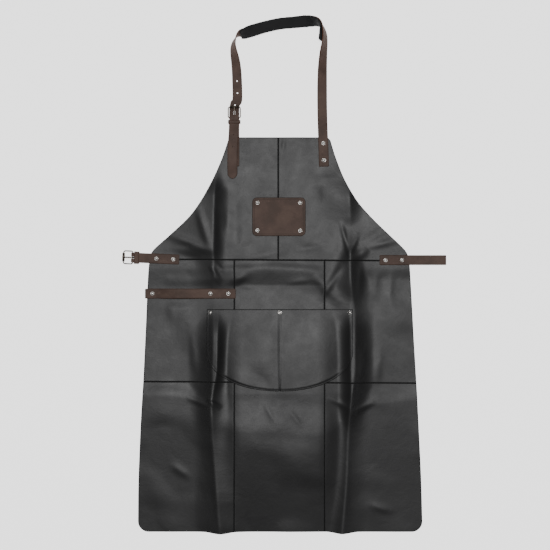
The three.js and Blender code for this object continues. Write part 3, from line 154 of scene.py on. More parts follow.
def follow(rows, column, at):
    """A smooth curve through one column of a table, read at places along its first column."""
    table = np.array(rows, float)
    if table[0, 0] > table[-1, 0]:
        table = table[::-1]
    keys, values = table[:, 0], table[:, column]
    here = np.arange(len(keys))
    before, after = np.maximum(here - 1, 0), np.minimum(here + 1, len(keys) - 1)
    slopes = (values[after] - values[before]) / (keys[after] - keys[before])
    k = np.clip(np.searchsorted(keys, at) - 1, 0, len(keys) - 2)
    span = keys[k + 1] - keys[k]
    t = np.clip((at - keys[k]) / span, 0, 1)
    start = 2 * t**3 - 3 * t**2 + 1
    bend = (t**3 - 2 * t**2 + t) * slopes[k] + (t**3 - t**2) * slopes[k + 1]
    return start * values[k] + (1 - start) * values[k + 1] + bend * span


def ease(value, low, high):
    """A smooth step from 0 at low to 1 at high."""
    t = np.clip((value - low) / (high - low), 0, 1)
    return t * t * (3 - 2 * t)


def ridge(distance, foot, softness):
    """The cross-section of a fold: one at its crest, nothing at its foot."""
    t = np.minimum(np.abs(distance) / foot, 1)
    return (1 - t) ** 2 * (1 + 2 * softness * t)


def pinch(distance, foot, flat):
    """The cross-section of a crease: a rounded crest between long flanks."""
    past = np.maximum(np.abs(distance) - flat, 0)
    t = np.minimum((np.sqrt(past**2 + 2.5) - math.sqrt(2.5)) / foot, 1)
    return (1 - t) ** 1.7


def knee(distance, foot):
    """The cross-section of a soft fold."""
    return 1 - ease(np.abs(distance) / foot, 0, 1)


def waist_y(x):
    """The seam between the bib and the waist band."""
    return WAIST - TILT * x


def skirt_y(x):
    """The seam between the waist band and the skirt."""
    return SKIRT - TILT * x


def crease_x(path, y):
    """Where a long crease runs across the leather."""
    return HALF * follow(path, 1, (y - HEM) / HEIGHT)


def crease_lift(side, path, x, y):
    """A long crease's rise, with a wider top beside the pocket."""
    up = (y - HEM) / HEIGHT
    beside = (x - crease_x(path, y)) * side
    feet = OUTER_FLANK * follow(path, 3, up), INNER_FLANK * follow(path, 4, up)
    foot = np.where(beside > 0, *feet) * CREASE_FOOT
    flat = 0.6 + 3.6 * ease(up, 0.34, 0.42) * (1 - ease(up, 0.55, 0.6))
    return CREASE_RISE * np.maximum(follow(path, 2, up), 0) * CREASE * pinch(beside, foot, flat)


def fold_lift(rows, x, y, height, above, below):
    """A soft knee across the leather, with a gentle slope on either side."""
    across = x / HALF
    over = y - (HEM + HEIGHT * follow(rows, 1, across))
    feet = above * follow(rows, 3, across), below * follow(rows, 4, across)
    foot = np.where(over > 0, *feet) * FOLD_FOOT
    return np.maximum(follow(rows, 2, across), 0) * height * knee(over, foot)


def lift(x, y):
    """The height of the leather's underside with its creases, cross folds and strap tunnel."""
    past = np.abs(y - WAIST) - TUNNEL_FLAT
    tunnel = TUNNEL * (1 - ease(past, 0, np.where(y > WAIST, 6, 2) * TUNNEL_SHOULDER))
    rises = [crease_lift(side, path, x, y) for side, path in CREASES]
    rises.append(fold_lift(WAIST_FOLD, x, y, WAIST_RISE, 1.0, 1.3))
    rises.append(fold_lift(SKIRT_FOLD, x, y, SKIRT_RISE, 1.2, 9.0))
    rises.append(tunnel)
    return np.sqrt(sum(rise**2 for rise in rises))


# Where straps and rivets hold the leather level: left, right, low, high
CALM = [
    (196, 300, 174, 209), (-300, -206, 174, 209), (76, 112, 386, 462), (-118, -78, 352, 462),
    (-292, -88, 108, 132), (-75, 72, 236, 332),
]


def calm(x, y):
    """One in the open, nothing where a strap or the patch holds the leather level."""
    open_share = np.ones_like(x)
    for left, right, low, high in CALM:
        away = np.maximum(np.maximum(left - x, x - right), np.maximum(low - y, y - high))
        open_share = open_share * ease(away, 0, 22)
    return open_share


def undulation(x, y):
    """Gentle waves of the hide, always above nothing."""
    draw = np.random.RandomState(11)
    total = np.zeros_like(x)
    for wave in range(16):
        length = draw.uniform(55, 210)
        angle = draw.uniform(0, math.pi)
        phase = draw.uniform(0, 2 * math.pi)
        height = 0.0026 * length
        along = x * math.cos(angle) + y * math.sin(angle)
        total = total + height * np.sin(2 * math.pi * along / length + phase)
    return 0.55 * (np.sqrt(total**2 + 0.35) + total)


def climb(x, y):
    """The leather climbs from the waist towards the fold in the skirt and falls away to the hem."""
    crest = HEM + HEIGHT * follow(SKIRT_FOLD, 1, x / HALF)
    middle = ease(150 - np.abs(x), 0, 70)
    top = 104 + 34 * middle
    up = np.clip((top - y) / (top + CLIMB_LOW), 0, 1)
    down = np.clip((y - HEM) / (crest - HEM), 0, 1)
    slope = np.where(y > crest, up ** 0.85, 1 - (1 - down) ** 1.3)
    return (CLIMB + CLIMB_MIDDLE * middle) * slope


def small_folds(x, y):
    """The small folds and the hide's waves, calmed where something holds the leather."""
    total = undulation(x, y)
    for x0, y0, x1, y1, width, height in SMALL_FOLDS:
        dx, dy = x1 - x0, y1 - y0
        t = ((x - x0) * dx + (y - y0) * dy) / (dx * dx + dy * dy)
        near = np.clip(t, 0, 1)
        away = np.hypot(x - x0 - near * dx, y - y0 - near * dy)
        total = total + height * np.exp(-((away / width) ** 2)) * (1 - 0.6 * np.abs(2 * near - 1) ** 2)
    return total * calm(x, y)


def ground(x, y):
    """The height of the leather's underside with its small folds."""
    x, y = np.asarray(x, float), np.asarray(y, float)
    return lift(x, y) + climb(x, y) + small_folds(x, y)


def slope_out(x, y):
    """The direction straight out of the leather at a place."""
    step = 1.5
    dx = (ground(x + step, y) - ground(x - step, y)) / (2 * step)
    dy = (ground(x, y + step) - ground(x, y - step)) / (2 * step)
    return Vector((-float(dx), -float(dy), 1.0)).normalized()


def roll_down(away, depth, reach):
    """How far a rounded edge falls at a distance from it."""
    t = np.clip(1 - away / reach, 0, 1)
    return depth * (1 - np.sqrt(1 - t * t))


# Meshes

SHARP = 50


def mesh_object(name, points, faces, material, edge=None, cut=None):
    """A smooth mesh object from points in millimetres, with what its finish reads at them."""
    mesh = bpy.data.meshes.new(name)
    mesh.from_pydata((np.asarray(points, float).reshape(-1, 3) * MM).tolist(), [], faces)
    for label, values in (("edge_mm", edge), ("cut_edge", cut)):
        if values is not None:
            layer = mesh.attributes.new(label, "FLOAT", "POINT")
            layer.data.foreach_set("value", np.asarray(values, np.float32).ravel())
    return finish_object(name, mesh, material)


def shade_smooth(mesh, sharp):
    """Shades a mesh smooth, but for edges sharper than an angle in degrees."""
    mesh.polygons.foreach_set("use_smooth", [True] * len(mesh.polygons))
    mesh.set_sharp_from_angle(angle=math.radians(sharp))


def finish_object(name, mesh, material):
    mesh.validate()
    mesh.materials.clear()
    mesh.materials.append(material)
    shade_smooth(mesh, SHARP)
    mesh.update()
    made = bpy.data.objects.new(name + "_finish", mesh)
    bpy.context.scene.collection.objects.link(made)
    return made


def baked(made, sharp=SHARP):
    """Turns an object's modifiers into its mesh."""
    graph = bpy.context.evaluated_depsgraph_get()
    mesh = bpy.data.meshes.new_from_object(made.evaluated_get(graph))
    made.modifiers.clear()
    made.data = mesh
    shade_smooth(mesh, sharp)
    return made


def dress(made, body, slot, *nodes):
    """Puts a piece on its body in place of its solids."""
    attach(made, body)
    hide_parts(*nodes)
    return made


def shell(name, top, bottom, material, edge):
    """A closed wall between two grids of points, each row by column by place."""
    rows, columns = top.shape[:2]
    size = rows * columns
    grid = np.arange(size).reshape(rows, columns)
    a, b, c, d = grid[:-1, :-1], grid[:-1, 1:], grid[1:, 1:], grid[1:, :-1]
    quads = [
        np.stack([a, b, c, d], -1).reshape(-1, 4),
        np.stack([a, d, c, b], -1).reshape(-1, 4) + size,
    ]
    for line in (grid[0], grid[:, -1], grid[-1, ::-1], grid[::-1, 0]):
        quads.append(np.stack([line[:-1] + size, line[1:] + size, line[1:], line[:-1]], -1))
    points = np.concatenate([top.reshape(-1, 3), bottom.reshape(-1, 3)])
    faces = np.concatenate(quads).tolist()
    return mesh_object(name, points, faces, material, np.concatenate([edge.ravel()] * 2))


def loft(name, rings, material, edge=None, cut=None, looped=False):
    """A closed skin through rings of points that run anticlockwise as seen from ahead."""
    count, around = rings.shape[:2]
    grid = np.arange(count * around).reshape(count, around)
    ahead = np.roll(grid, -1, 0) if looped else grid[1:]
    here = grid if looped else grid[:-1]
    faces = np.stack([here, np.roll(here, -1, 1), np.roll(ahead, -1, 1), ahead], -1).reshape(-1, 4).tolist()
    if not looped:
        faces += [grid[0, ::-1].tolist(), grid[-1].tolist()]
    return mesh_object(name, rings, faces, material, edge, cut)


ROLL_STEPS = np.array([0.0, 0.3, 0.8, 1.5, 2.4])


def spread(length, spacing):
    """Places along a length as millimetres plus a share of it: close at both ends, even between."""
    reach = 3.4
    count = max(round((length - 2 * reach) / spacing), 2)
    share = np.linspace(0, 1, count + 1)
    middle = np.stack([reach * (1 - 2 * share), share], 1)
    start = np.stack([ROLL_STEPS, 0 * ROLL_STEPS], 1)
    return np.concatenate([start, middle, start[::-1] * [-1, 0] + [0, 1]])


def grid_between(left, right, low, high, across, up):
    """Grid points inside four edges, and how far each is from every edge."""
    x = np.zeros((len(up), len(across)))
    y = np.zeros_like(x)
    for _ in range(6):
        base, length = low(x), high(x) - low(x)
        y = base + up[:, None, 0] + up[:, None, 1] * length
        start, width = left(y), right(y) - left(y)
        x = start + across[None, :, 0] + across[None, :, 1] * width
    return x, y, x - left(y), right(y) - x, y - low(x), high(x) - y


# Straps

def strap_section(width, wall):
    """A strap's rounded cross-section: across, out of its face, distance from the edge, cut edge or not."""
    corner = [(2.2, 1.0, 0), (0.75, 0.98, 0), (0.22, 0.7, 0.6), (0.0, 0.0, 1)]
    lower = [(inset, -level, cut) for inset, level, cut in corner]
    upper = [(inset, level, cut) for inset, level, cut in corner[:3]][::-1]
    side = lower + upper
    section = [(width / 2 - inset, level * wall / 2, inset, cut) for inset, level, cut in side]
    section += [(sign * width / 8, wall / 2, width / 2, 0) for sign in (1, 0, -1)]
    section += [(inset - width / 2, level * wall / 2, inset, cut) for inset, level, cut in side[::-1]]
    section += [(sign * width / 8, -wall / 2, width / 2, 0) for sign in (-1, 0, 1)]
    return np.array(section)


def strap_rings(points, aside, face, half, wall):
    """Rings round a strap's middle line, its half width given at each point."""
    section = strap_section(STRAP_WIDTH, wall)
    inner = section[:, 2] == STRAP_WIDTH / 2
    least = np.where(inner, 0.25, 0.3)
    across = np.sign(section[:, 0]) * np.maximum(half[:, None] - section[:, 2], least * half[:, None])
    rings = points[:, None] + across[..., None] * aside[:, None] + section[None, :, 1, None] * face[:, None]
    return rings, section


def unit(vectors):
    return vectors / np.linalg.norm(vectors, axis=-1, keepdims=True)


def even_line(points, spacing, index_keys=False):
    """A smooth line through points, read at even steps, with its direction."""
    points = np.asarray(points, float)
    hop = np.linalg.norm(np.diff(points[:, :3], axis=0), axis=1)
    keys = np.arange(len(points), dtype=float) if index_keys else np.concatenate([[0], np.cumsum(hop)])
    table = np.column_stack([keys, points])
    fine = np.linspace(0, keys[-1], 40 * len(points))
    dense = np.stack([follow(table, n, fine) for n in range(1, table.shape[1])], 1)
    run = np.concatenate([[0], np.cumsum(np.linalg.norm(np.diff(dense[:, :3], axis=0), axis=1))])
    count = max(round(run[-1] / spacing), 4)
    steps = np.interp([0.0, 0.25, 0.9, 2.0], [0, run[-1]], [0, run[-1]])
    even = np.concatenate([steps, np.linspace(3.5, run[-1] - 3.5, count), run[-1] - steps[::-1]])
    line = np.stack([np.interp(even, run, dense[:, n]) for n in range(dense.shape[1])], 1)
    smooth = np.stack([np.interp(even, run, g) for g in np.gradient(dense[:, :3], axis=0).T], 1)
    return line, unit(smooth), even, run[-1]


def end_rounding(even, length, start_corner, end_corner):
    """The half width of a strap along its length, with round corners at its ends."""
    half = np.full(len(even), STRAP_WIDTH / 2)
    for away, corner in ((even, start_corner), (length - even, end_corner)):
        if corner:
            short = np.clip(1 - away / corner, 0, 1)
            half = half - corner * (1 - np.sqrt(1 - short * short))
    return np.maximum(half, 1.2)


def band(name, line, matrix, material, corners=(2.0, 2.0), spacing=2.4):
    """A flat strap along a line of distance and height in its own axes, placed by a matrix."""
    points = np.array([(x, 0.0, z) for x, z in line])
    middle, along, even, length = even_line(points, spacing)
    aside = np.tile([0.0, 1.0, 0.0], (len(middle), 1))
    face = unit(np.cross(along, aside))
    half = end_rounding(even, length, *corners)
    rings, section = strap_rings(middle, aside, face, half, STRAP)
    turned = placed(rings, matrix)
    return loft(name, turned, material, *strap_marks(section, even, length)), length


def strap_marks(section, even, length):
    """How far each point of a strap's rings is from an edge, and where the cut edge shows."""
    ends = np.minimum(even, length - even)
    edge = np.minimum(section[None, :, 2], ends[:, None])
    cut = np.maximum(section[None, :, 3], (ends[:, None] < 0.2) * 1.0)
    return edge, cut


def placed(points, matrix):
    turn, shift = np.array(matrix.to_3x3()), np.array(matrix.translation)
    return points @ turn.T + shift


def place_matrix(x, y, z, turn):
    return Matrix.Translation((x, y, z)) @ Matrix.Rotation(math.radians(turn), 4, "Z")


def half_turn(x, z, radius, facing, steps=10):
    """A half turn of a strap, from its upper run to its lower one."""
    angles = [math.pi / 2 - math.pi * k / steps for k in range(steps + 1)]
    return [(x + facing * radius * math.cos(a), z + radius * math.sin(a)) for a in angles]


def carve(made, cutters):
    """Cuts closed objects out of a piece and removes them."""
    for cutter in cutters:
        change = made.modifiers.new("Cut", "BOOLEAN")
        change.operation = "DIFFERENCE"
        change.solver = "EXACT"
        change.object = cutter
    baked(made)
    for cutter in cutters:
        bpy.data.objects.remove(cutter)
    return made


def box_cutter(size, matrix, material):
    x, y, z = (s / 2 for s in size)
    rings = np.array([[(a, y, -z), (a, y, z), (a, -y, z), (a, -y, -z)] for a in (-x, x)])
    return loft("cutter", placed(rings, matrix), material)


def round_cutter(radius, x, y, low, high, material):
    angles = np.linspace(0, 2 * math.pi, 24, endpoint=False)
    ring = np.stack([x + radius * np.cos(angles), y + radius * np.sin(angles), 0 * angles], 1)
    return loft("cutter", np.array([ring + [0, 0, low], ring + [0, 0, high]]), material)


LEFT_PIVOT = (-277.37 + 14.8, WAIST + 3.2)
LEFT_MATRIX = place_matrix(*LEFT_PIVOT, 0, -2.5)
LEFT_HEEL = -50.0
WAIST_KEEPER_X = -41.8
PATCH_RIVET, POCKET_RIVET, WAIST_RIVETS, NECK_RIVET = 11.5, (148.2, 80.2), (224.5, 260.1), 13
WAIST_BUCKLE, NECK_BUCKLE = (22.6, 29.6), (26.0, 28.0)
WAIST_REACH, NECK_REACH = WAIST_BUCKLE[0] - BAR, NECK_BUCKLE[0] - BAR
WAIST_LEAN = math.asin((HEEL - ROLLER - SEATED) / WAIST_REACH)
WAIST_BUCKLE_MATRIX = (
    LEFT_MATRIX
    @ Matrix.Translation((LEFT_HEEL, 0, HEEL))
    @ Matrix.Rotation(-WAIST_LEAN, 4, "Y")
    @ Matrix.Rotation(math.pi, 4, "Z")
)
NECK_BUCKLE_MATRIX = place_matrix(NECK_X, NECK_HEEL, HEEL, 90)
NECK_BAND_MATRIX = place_matrix(NECK_X, 0, 0, 90)
NECK_KEEPER_Y = 485.0
NECK_END = TOP - 62.0


def neck_stations():
    """The middle line of the long neck strap with its roll."""
    rows = [
        (across * NECK_WIDE, TOP + rise * NECK_HIGH, high * STRAP_WIDTH + GAP / 3, roll)
        for across, rise, high, roll in NECK_RUN
    ]
    over_heel = OVER_HEEL + STRAP + GAP
    tail_seat = ON_PANEL + STRAP + GAP + 1.7 + GAP + STRAP / 2
    bar_y, bend, tip_y = NECK_HEEL + NECK_REACH, 4.0, TOP - 88.5
    runs = [
        (-0.5, bar_y + 2 * bend, STRAP / 2 + GAP), (-0.12, bar_y, STRAP / 2 + GAP / 2),
        (0, bar_y - bend, STRAP / 2 + 4 * GAP), (0, NECK_HEEL + bend, over_heel - 3 * GAP),
        (0, NECK_HEEL, over_heel), (0.1, NECK_KEEPER_Y, over_heel), (0.2, NECK_HEEL - 4 * bend, over_heel),
        (0.4, TOP + 1.5 * bend, tail_seat + GAP), (0.85, TOP - 5 * bend, tail_seat),
        (1, NECK_END + 2 * bend, tail_seat), (1, tip_y + 3 * bend, ON_PANEL + STRAP / 2 + 4 * GAP),
        (1, tip_y, ON_PANEL + STRAP / 2 + GAP / 3),
    ]
    return rows + [(NECK_X - aside * 4.0, y, z, 0) for aside, y, z in runs]


def strap_axes(along, roll):
    """Across a strap towards its left-hand edge, and out of its face."""
    level = unit(np.cross([0.0, 0.0, 1.0], along))
    rise = unit(np.cross(along, level))
    turn = np.radians(roll)[:, None]
    return level * np.cos(turn) + rise * np.sin(turn), rise * np.cos(turn) - level * np.sin(turn)


# Buckles

def oval_section(half, sides=14, squareness=0.72):
    angles = np.linspace(-math.pi, math.pi, sides, endpoint=False)
    def squared(v):
        return np.sign(v) * np.abs(v) ** squareness
    return np.stack([half * squared(np.cos(angles)), half * squared(np.sin(angles))], 1)


def swept(points, aside, face, wide, thick, section):
    """Rings of one cross-section along a line, with its own half width and half wall at each point."""
    across = wide[:, None] * section[None, :, 0]
    out = thick[:, None] * section[None, :, 1]
    return points[:, None] + across[..., None] * aside[:, None] + out[..., None] * face[:, None]


def rounded_path(left, right, low, high, radius, per_corner=8, per_side=6):
    """Points round a rectangle with round corners, anticlockwise, each with its outward direction."""
    points, outs = [], []
    corners = [(right - radius, high - radius, 0), (left + radius, high - radius, 1)]
    corners += [(left + radius, low + radius, 2), (right - radius, low + radius, 3)]
    for n, (cx, cy, quarter) in enumerate(corners):
        for k in range(per_corner + 1):
            angle = math.pi / 2 * (quarter + k / per_corner)
            points.append((cx + radius * math.cos(angle), cy + radius * math.sin(angle)))
            outs.append((math.cos(angle), math.sin(angle)))
        nx, ny, nq = corners[(n + 1) % 4]
        begin, out = points[-1], outs[-1]
        end = (nx + radius * math.cos(math.pi / 2 * nq), ny + radius * math.sin(math.pi / 2 * nq))
        for k in range(1, per_side):
            t = k / per_side
            points.append((begin[0] + t * (end[0] - begin[0]), begin[1] + t * (end[1] - begin[1])))
            outs.append(out)
    return np.array(points), np.array(outs)


def buckle_frame(name, length, width, matrix, material):
    path, outs = rounded_path(0, length - BAR, BAR / 2 - width / 2, width / 2 - BAR / 2, 4.0)
    section = oval_section(BAR / 2)
    rings = np.array([[(*(at - a * out), b) for a, b in section] for at, out in zip(path, outs)])
    return loft(name, placed(rings, matrix), material, looped=True)


def buckle_roller(name, reach, matrix, material):
    half, outer, inner, bevel = ROLLER_LENGTH / 2, ROLLER, ROLLER - ROLLER_WALL, 0.35
    profile = [(outer - bevel, -half), (outer, bevel - half), (outer, 0), (outer, half - bevel)]
    profile += [(outer - bevel, half), (inner + bevel, half), (inner, half - bevel)]
    profile += [(inner, bevel - half), (inner + bevel, -half)]
    angles = np.linspace(0, 2 * math.pi, 40, endpoint=False)
    rings = np.array([[(reach + r * math.sin(a), y, r * math.cos(a)) for r, y in profile] for a in angles])
    return loft(name, placed(rings[::-1], matrix), material, looped=True)


def buckle_prong(name, reach, matrix, material):
    """A ring round the heel bar with a slightly arched arm that ends on the roller."""
    half_wide, middle, thick = 1.5, (RING_IN + RING_OUT) / 2, (RING_OUT - RING_IN) / 2
    end = ROLLER + GAP + 0.9
    line, walls = [], []
    for k in range(26):
        angle = math.radians(370 * k / 25 - 250)
        line.append((middle * math.cos(angle), middle * math.sin(angle)))
        walls.append(thick)
    start = line[-1]
    for t in np.linspace(0.08, 1, 16):
        x = start[0] + t * (reach + 2.0 - start[0])
        z = start[1] + (end - start[1]) * ease(t, 0, 0.9) + 0.25 * math.sin(math.pi * t)
        line.append((x, float(z)))
        walls.append(0.6 + 0.3 * float(ease(t, 0, 0.35)) - 0.35 * float(ease(t, 0.9, 1)))
    points = np.array([(x, 0.0, z) for x, z in line])
    along = unit(np.gradient(points, axis=0))
    aside = np.tile([0.0, 1.0, 0.0], (len(points), 1))
    face = unit(np.cross(along, aside))
    section = oval_section(1.0, 12, 0.55)
    narrow = np.array([half_wide * (1 - 0.35 * ease(k, 34, 41)) for k in range(len(points))])
    rings = swept(points, aside, face, narrow, np.array(walls), section)
    return loft(name, placed(rings, matrix), material)


def keeper(name, length, top, matrix, material):
    """A narrow leather loop round the straps."""
    half = STRAP_WIDTH / 2 + 4 * GAP + 0.75
    path, outs = rounded_path(-half, half, 0.75, top + 0.75, 1.5, 5, 8)
    profile = strap_section(length, 1.5)
    rings = np.array([[(a, *(at + b * out)) for a, b, _, _ in profile] for at, out in zip(path, outs)])
    edge = np.tile(profile[:, 2], (len(path), 1))
    cut = np.tile(profile[:, 3], (len(path), 1))
    return loft(name, placed(rings[::-1], matrix), material, edge, cut, looped=True)


# Finishes

class Reading:
    """A number read over a surface; sums and products on it add Math nodes."""

    def __init__(self, finish, socket):
        self.finish, self.socket = finish, socket

    def math(self, operation, first, second):
        made = self.finish.node("ShaderNodeMath", {"operation": operation}, {0: first, 1: second})
        return Reading(self.finish, made.outputs[0])

    def __add__(self, other):
        return self.math("ADD", self, other)

    def __sub__(self, other):
        return self.math("SUBTRACT", self, other)

    def __rsub__(self, other):
        return self.math("SUBTRACT", other, self)

    def __mul__(self, other):
        return self.math("MULTIPLY", self, other)

    def __truediv__(self, other):
        return self.math("DIVIDE", self, other)

    def __pow__(self, other):
        return self.math("POWER", self, other)

    __radd__ = __add__
    __rmul__ = __mul__


class Nodes:
    """A node tree with one way to add a node, set it up and wire it."""

    tree = None

    def node(self, kind, settings=None, sockets=None):
        made = self.tree.nodes.new(kind)
        for key, value in (settings or {}).items():
            setattr(made, key, value)
        for key, value in (sockets or {}).items():
            value = value.socket if isinstance(value, Reading) else value
            if isinstance(value, bpy.types.NodeSocket):
                self.tree.links.new(value, made.inputs[key])
            else:
                made.inputs[key].default_value = value
        return made


class Finish(Nodes):
    """A material that is put together node by node."""

    def __init__(self, name):
        self.material = bpy.data.materials.new(name + "_worked")
        self.material.use_nodes = True
        self.tree = self.material.node_tree
        self.tree.nodes.clear()
        self.place = self.node("ShaderNodeTexCoord").outputs["Object"]

    def stretched(self, scale, turn=0.0):
        sockets = {"Vector": self.place, "Scale": scale, "Rotation": (0.0, 0.0, turn)}
        return self.node("ShaderNodeMapping", None, sockets).outputs[0]

    def noise(self, scale, detail=4.0, roughness=0.5, distortion=0.0, at=None):
        sockets = {"Vector": at or self.place, "Scale": scale, "Detail": detail}
        sockets.update({"Roughness": roughness, "Distortion": distortion})
        return Reading(self, self.node("ShaderNodeTexNoise", None, sockets).outputs[0])

    def cells(self, scale):
        sockets = {"Vector": self.place, "Scale": scale}
        return Reading(self, self.node("ShaderNodeTexVoronoi", {"feature": "F1"}, sockets).outputs[0])

    def mark(self, name):
        """A reading of one of the mesh's own attributes."""
        return Reading(self, self.node("ShaderNodeAttribute", {"attribute_name": name}).outputs["Fac"])

    def between(self, value, low, high):
        """A reading stretched from low..high to 0..1, and held there."""
        sockets = {0: value, 1: low, 2: high, 3: 0.0, 4: 1.0}
        made = self.node("ShaderNodeMapRange", {"interpolation_type": "SMOOTHSTEP"}, sockets)
        return Reading(self, made.outputs[0])

    def mix(self, share, first, second):
        """A colour between two, each a plain colour or a mix."""
        first, second = ((*c, 1.0) if isinstance(c, tuple) else c for c in (first, second))
        settings = {"data_type": "RGBA", "blend_type": "MIX"}
        return self.node("ShaderNodeMix", settings, {0: share, 6: first, 7: second}).outputs[2]

    def bump(self, height, distance, under=None):
        sockets = {"Height": height, "Strength": 1.0, "Distance": distance * MM}
        if under is not None:
            sockets["Normal"] = under
        return self.node("ShaderNodeBump", None, sockets).outputs[0]

    def shader(self, **sockets):
        named = {key.replace("_", " "): value for key, value in sockets.items()}
        made = self.node("ShaderNodeBsdfPrincipled", None, named)
        self.node("ShaderNodeOutputMaterial", None, {"Surface": made.outputs[0]})
        return self.material


def shade(colour, by):
    """A colour made lighter or darker."""
    return tuple(min(c * by, 1.0) for c in colour)


def leather_black(colours):
    """Oiled black hide: pebbled grain, fine wrinkles, cloudy gloss, and painted shade that darkens it along
    its edges and seams.
    """
    f = Finish("leather_black")
    base = tuple(colours.black)
    cloud = f.noise(6.0, 4.0, 0.55)
    patchy = f.noise(38.0, 5.0, 0.6, 0.4)
    grain = f.cells(720.0)
    pores = f.noise(1500.0, 2.0, 0.5)
    wrinkle = f.noise(85.0, 5.0, 0.55, 1.2, f.stretched((1.0, 1.35, 1.0), 0.35))
    soft = f.noise(24.0, 3.0, 0.5, 0.8)
    # Near every edge and seam: this mask carries painted shade along the edges and in the seam grooves, and a
    # rougher gloss there
    rim = f.between(f.mark("edge_mm"), 0.2, 2.6)
    colour = f.mix(f.between(cloud, 0.35, 0.68), shade(base, 0.8), shade(base, 1.3))
    colour = f.mix(f.between(patchy, 0.55, 0.75) * 0.35, colour, shade(base, 1.9))
    # Painted shade: the colour darkens towards each edge and seam, where the rolled edges and seam grooves
    # are shaded
    colour = f.mix(1 - rim, colour, shade(base, 0.35))
    gloss = colours.gloss + (cloud - 0.5) * 0.16 + (patchy - 0.5) * 0.12 + grain * 0.06 + (1 - rim) * 0.2
    normal = f.bump(soft, 0.45)
    normal = f.bump(wrinkle, 0.1, normal)
    normal = f.bump(grain * 0.7 + pores * 0.3, 0.05, normal)
    return f.shader(Base_Color=colour, Roughness=gloss, Normal=normal, IOR=1.5)


def leather_brown(colours):
    """Brown strap leather with darker edges from burnishing, the darkening across the strap ends being
    painted shade of the thick end, and a redder cut edge.
    """
    f = Finish("leather_brown")
    base, cut = tuple(colours.brown), tuple(colours.cut)
    cloud = f.noise(28.0, 5.0, 0.6, 0.3)
    fibre = f.noise(420.0, 3.0, 0.6)
    grain = f.cells(900.0)
    scuff = f.noise(130.0, 4.0, 0.65, 1.0, f.stretched((0.35, 1.6, 1.0), 0.2))
    # Real burnishing along the sides and the tooled line; across each strap end the same darkening is painted
    # shade
    burnished_and_end_shade = 1 - f.between(f.mark("edge_mm"), 0.6, 2.3)
    colour = f.mix(f.between(cloud, 0.3, 0.7), shade(base, 0.78), shade(base, 1.2))
    colour = f.mix(f.between(scuff, 0.56, 0.72) * 0.3, colour, shade(base, 1.7))
    colour = f.mix(burnished_and_end_shade * 0.72, colour, shade(base, 0.4))
    colour = f.mix(f.mark("cut_edge") * (0.75 + fibre * 0.4), colour, cut)
    gloss = 0.52 + (cloud - 0.5) * 0.2 - burnished_and_end_shade * 0.08 + (scuff - 0.5) * 0.15
    normal = f.bump(scuff, 0.25)
    normal = f.bump(grain * 0.6 + fibre * 0.4, 0.14, normal)
    return f.shader(Base_Color=colour, Roughness=gloss, Normal=normal, Specular_IOR_Level=0.08)


def pad_black(colours):
    """Matte, closely grained black on the soft pad."""
    f = Finish("pad_black")
    base = tuple(colours.pad)
    cloud = f.noise(40.0, 4.0, 0.6)
    weave = f.cells(1100.0)
    crease = f.noise(160.0, 4.0, 0.55, 1.6)
    colour = f.mix(f.between(cloud, 0.3, 0.7), shade(base, 0.75), shade(base, 1.35))
    normal = f.bump(crease, 0.5)
    normal = f.bump(weave, 0.16, normal)
    gloss = 0.74 + (cloud - 0.5) * 0.16
    return f.shader(Base_Color=colour, Roughness=gloss, Normal=normal, Specular_IOR_Level=0.3)


def worn_metal(name, base, dark, rough, tarnish):
    """Cast metal with tarnish in its cloudy patches and fine scratches."""
    f = Finish(name)
    cloud = f.noise(260.0, 5.0, 0.65, 0.5)
    scratch = f.noise(700.0, 3.0, 0.6, 0.0, f.stretched((0.25, 2.2, 1.0), 0.5))
    pits = f.cells(1400.0)
    worn = f.between(cloud, 0.42, 0.66)
    colour = f.mix(worn * tarnish, base, dark)
    gloss = rough + worn * 0.18 + (scratch - 0.5) * 0.2
    normal = f.bump(cloud, 0.1)
    normal = f.bump(scratch * 0.7 + pits * 0.3, 0.03, normal)
    tint = (0.35, 0.33, 0.3, 1)
    return f.shader(Base_Color=colour, Roughness=gloss, Metallic=1.0, Normal=normal, Specular_Tint=tint)


def nickel(colours):
    base = tuple(colours.nickel)
    return worn_metal("nickel", base, shade(base, 0.3), 0.3, 0.6)


def bronze(colours):
    base = tuple(colours.bronze)
    return worn_metal("bronze", base, shade(base, 0.35), 0.34, 0.7)


def thread_black(colours):
    """Waxed black thread."""
    f = Finish("thread_black")
    twist = f.noise(2600.0, 2.0, 0.5, 0.0, f.stretched((1.0, 3.0, 1.0), 0.7))
    colour = f.mix(twist, shade(tuple(colours.black), 0.5), shade(tuple(colours.black), 1.5))
    return f.shader(Base_Color=colour, Roughness=0.55 + (twist - 0.5) * 0.2, Normal=f.bump(twist, 0.08))


def floor_pale(colours):
    """A pale even ground with a glow of its own, so that it reads as white."""
    f = Finish("floor_pale")
    cloud = f.noise(3.0, 3.0, 0.5)
    base = tuple(colours.floor)
    colour = f.mix(cloud, shade(base, 0.985), base)
    glow = {"Emission_Color": (1, 1, 1, 1), "Emission_Strength": 1.7}
    return f.shader(Base_Color=colour, Roughness=0.75 + cloud * 0.1, **glow)


MAKERS = (leather_black, leather_brown, pad_black, nickel, bronze, thread_black, floor_pale)
FINISHES = {maker.__name__: maker for maker in MAKERS}


def finish(context, name):
    """The named material, made the first time it is asked for."""
    return bpy.data.materials.get(name + "_worked") or FINISHES[name](context.scene.apron_colours)


# Node trees for what repeats

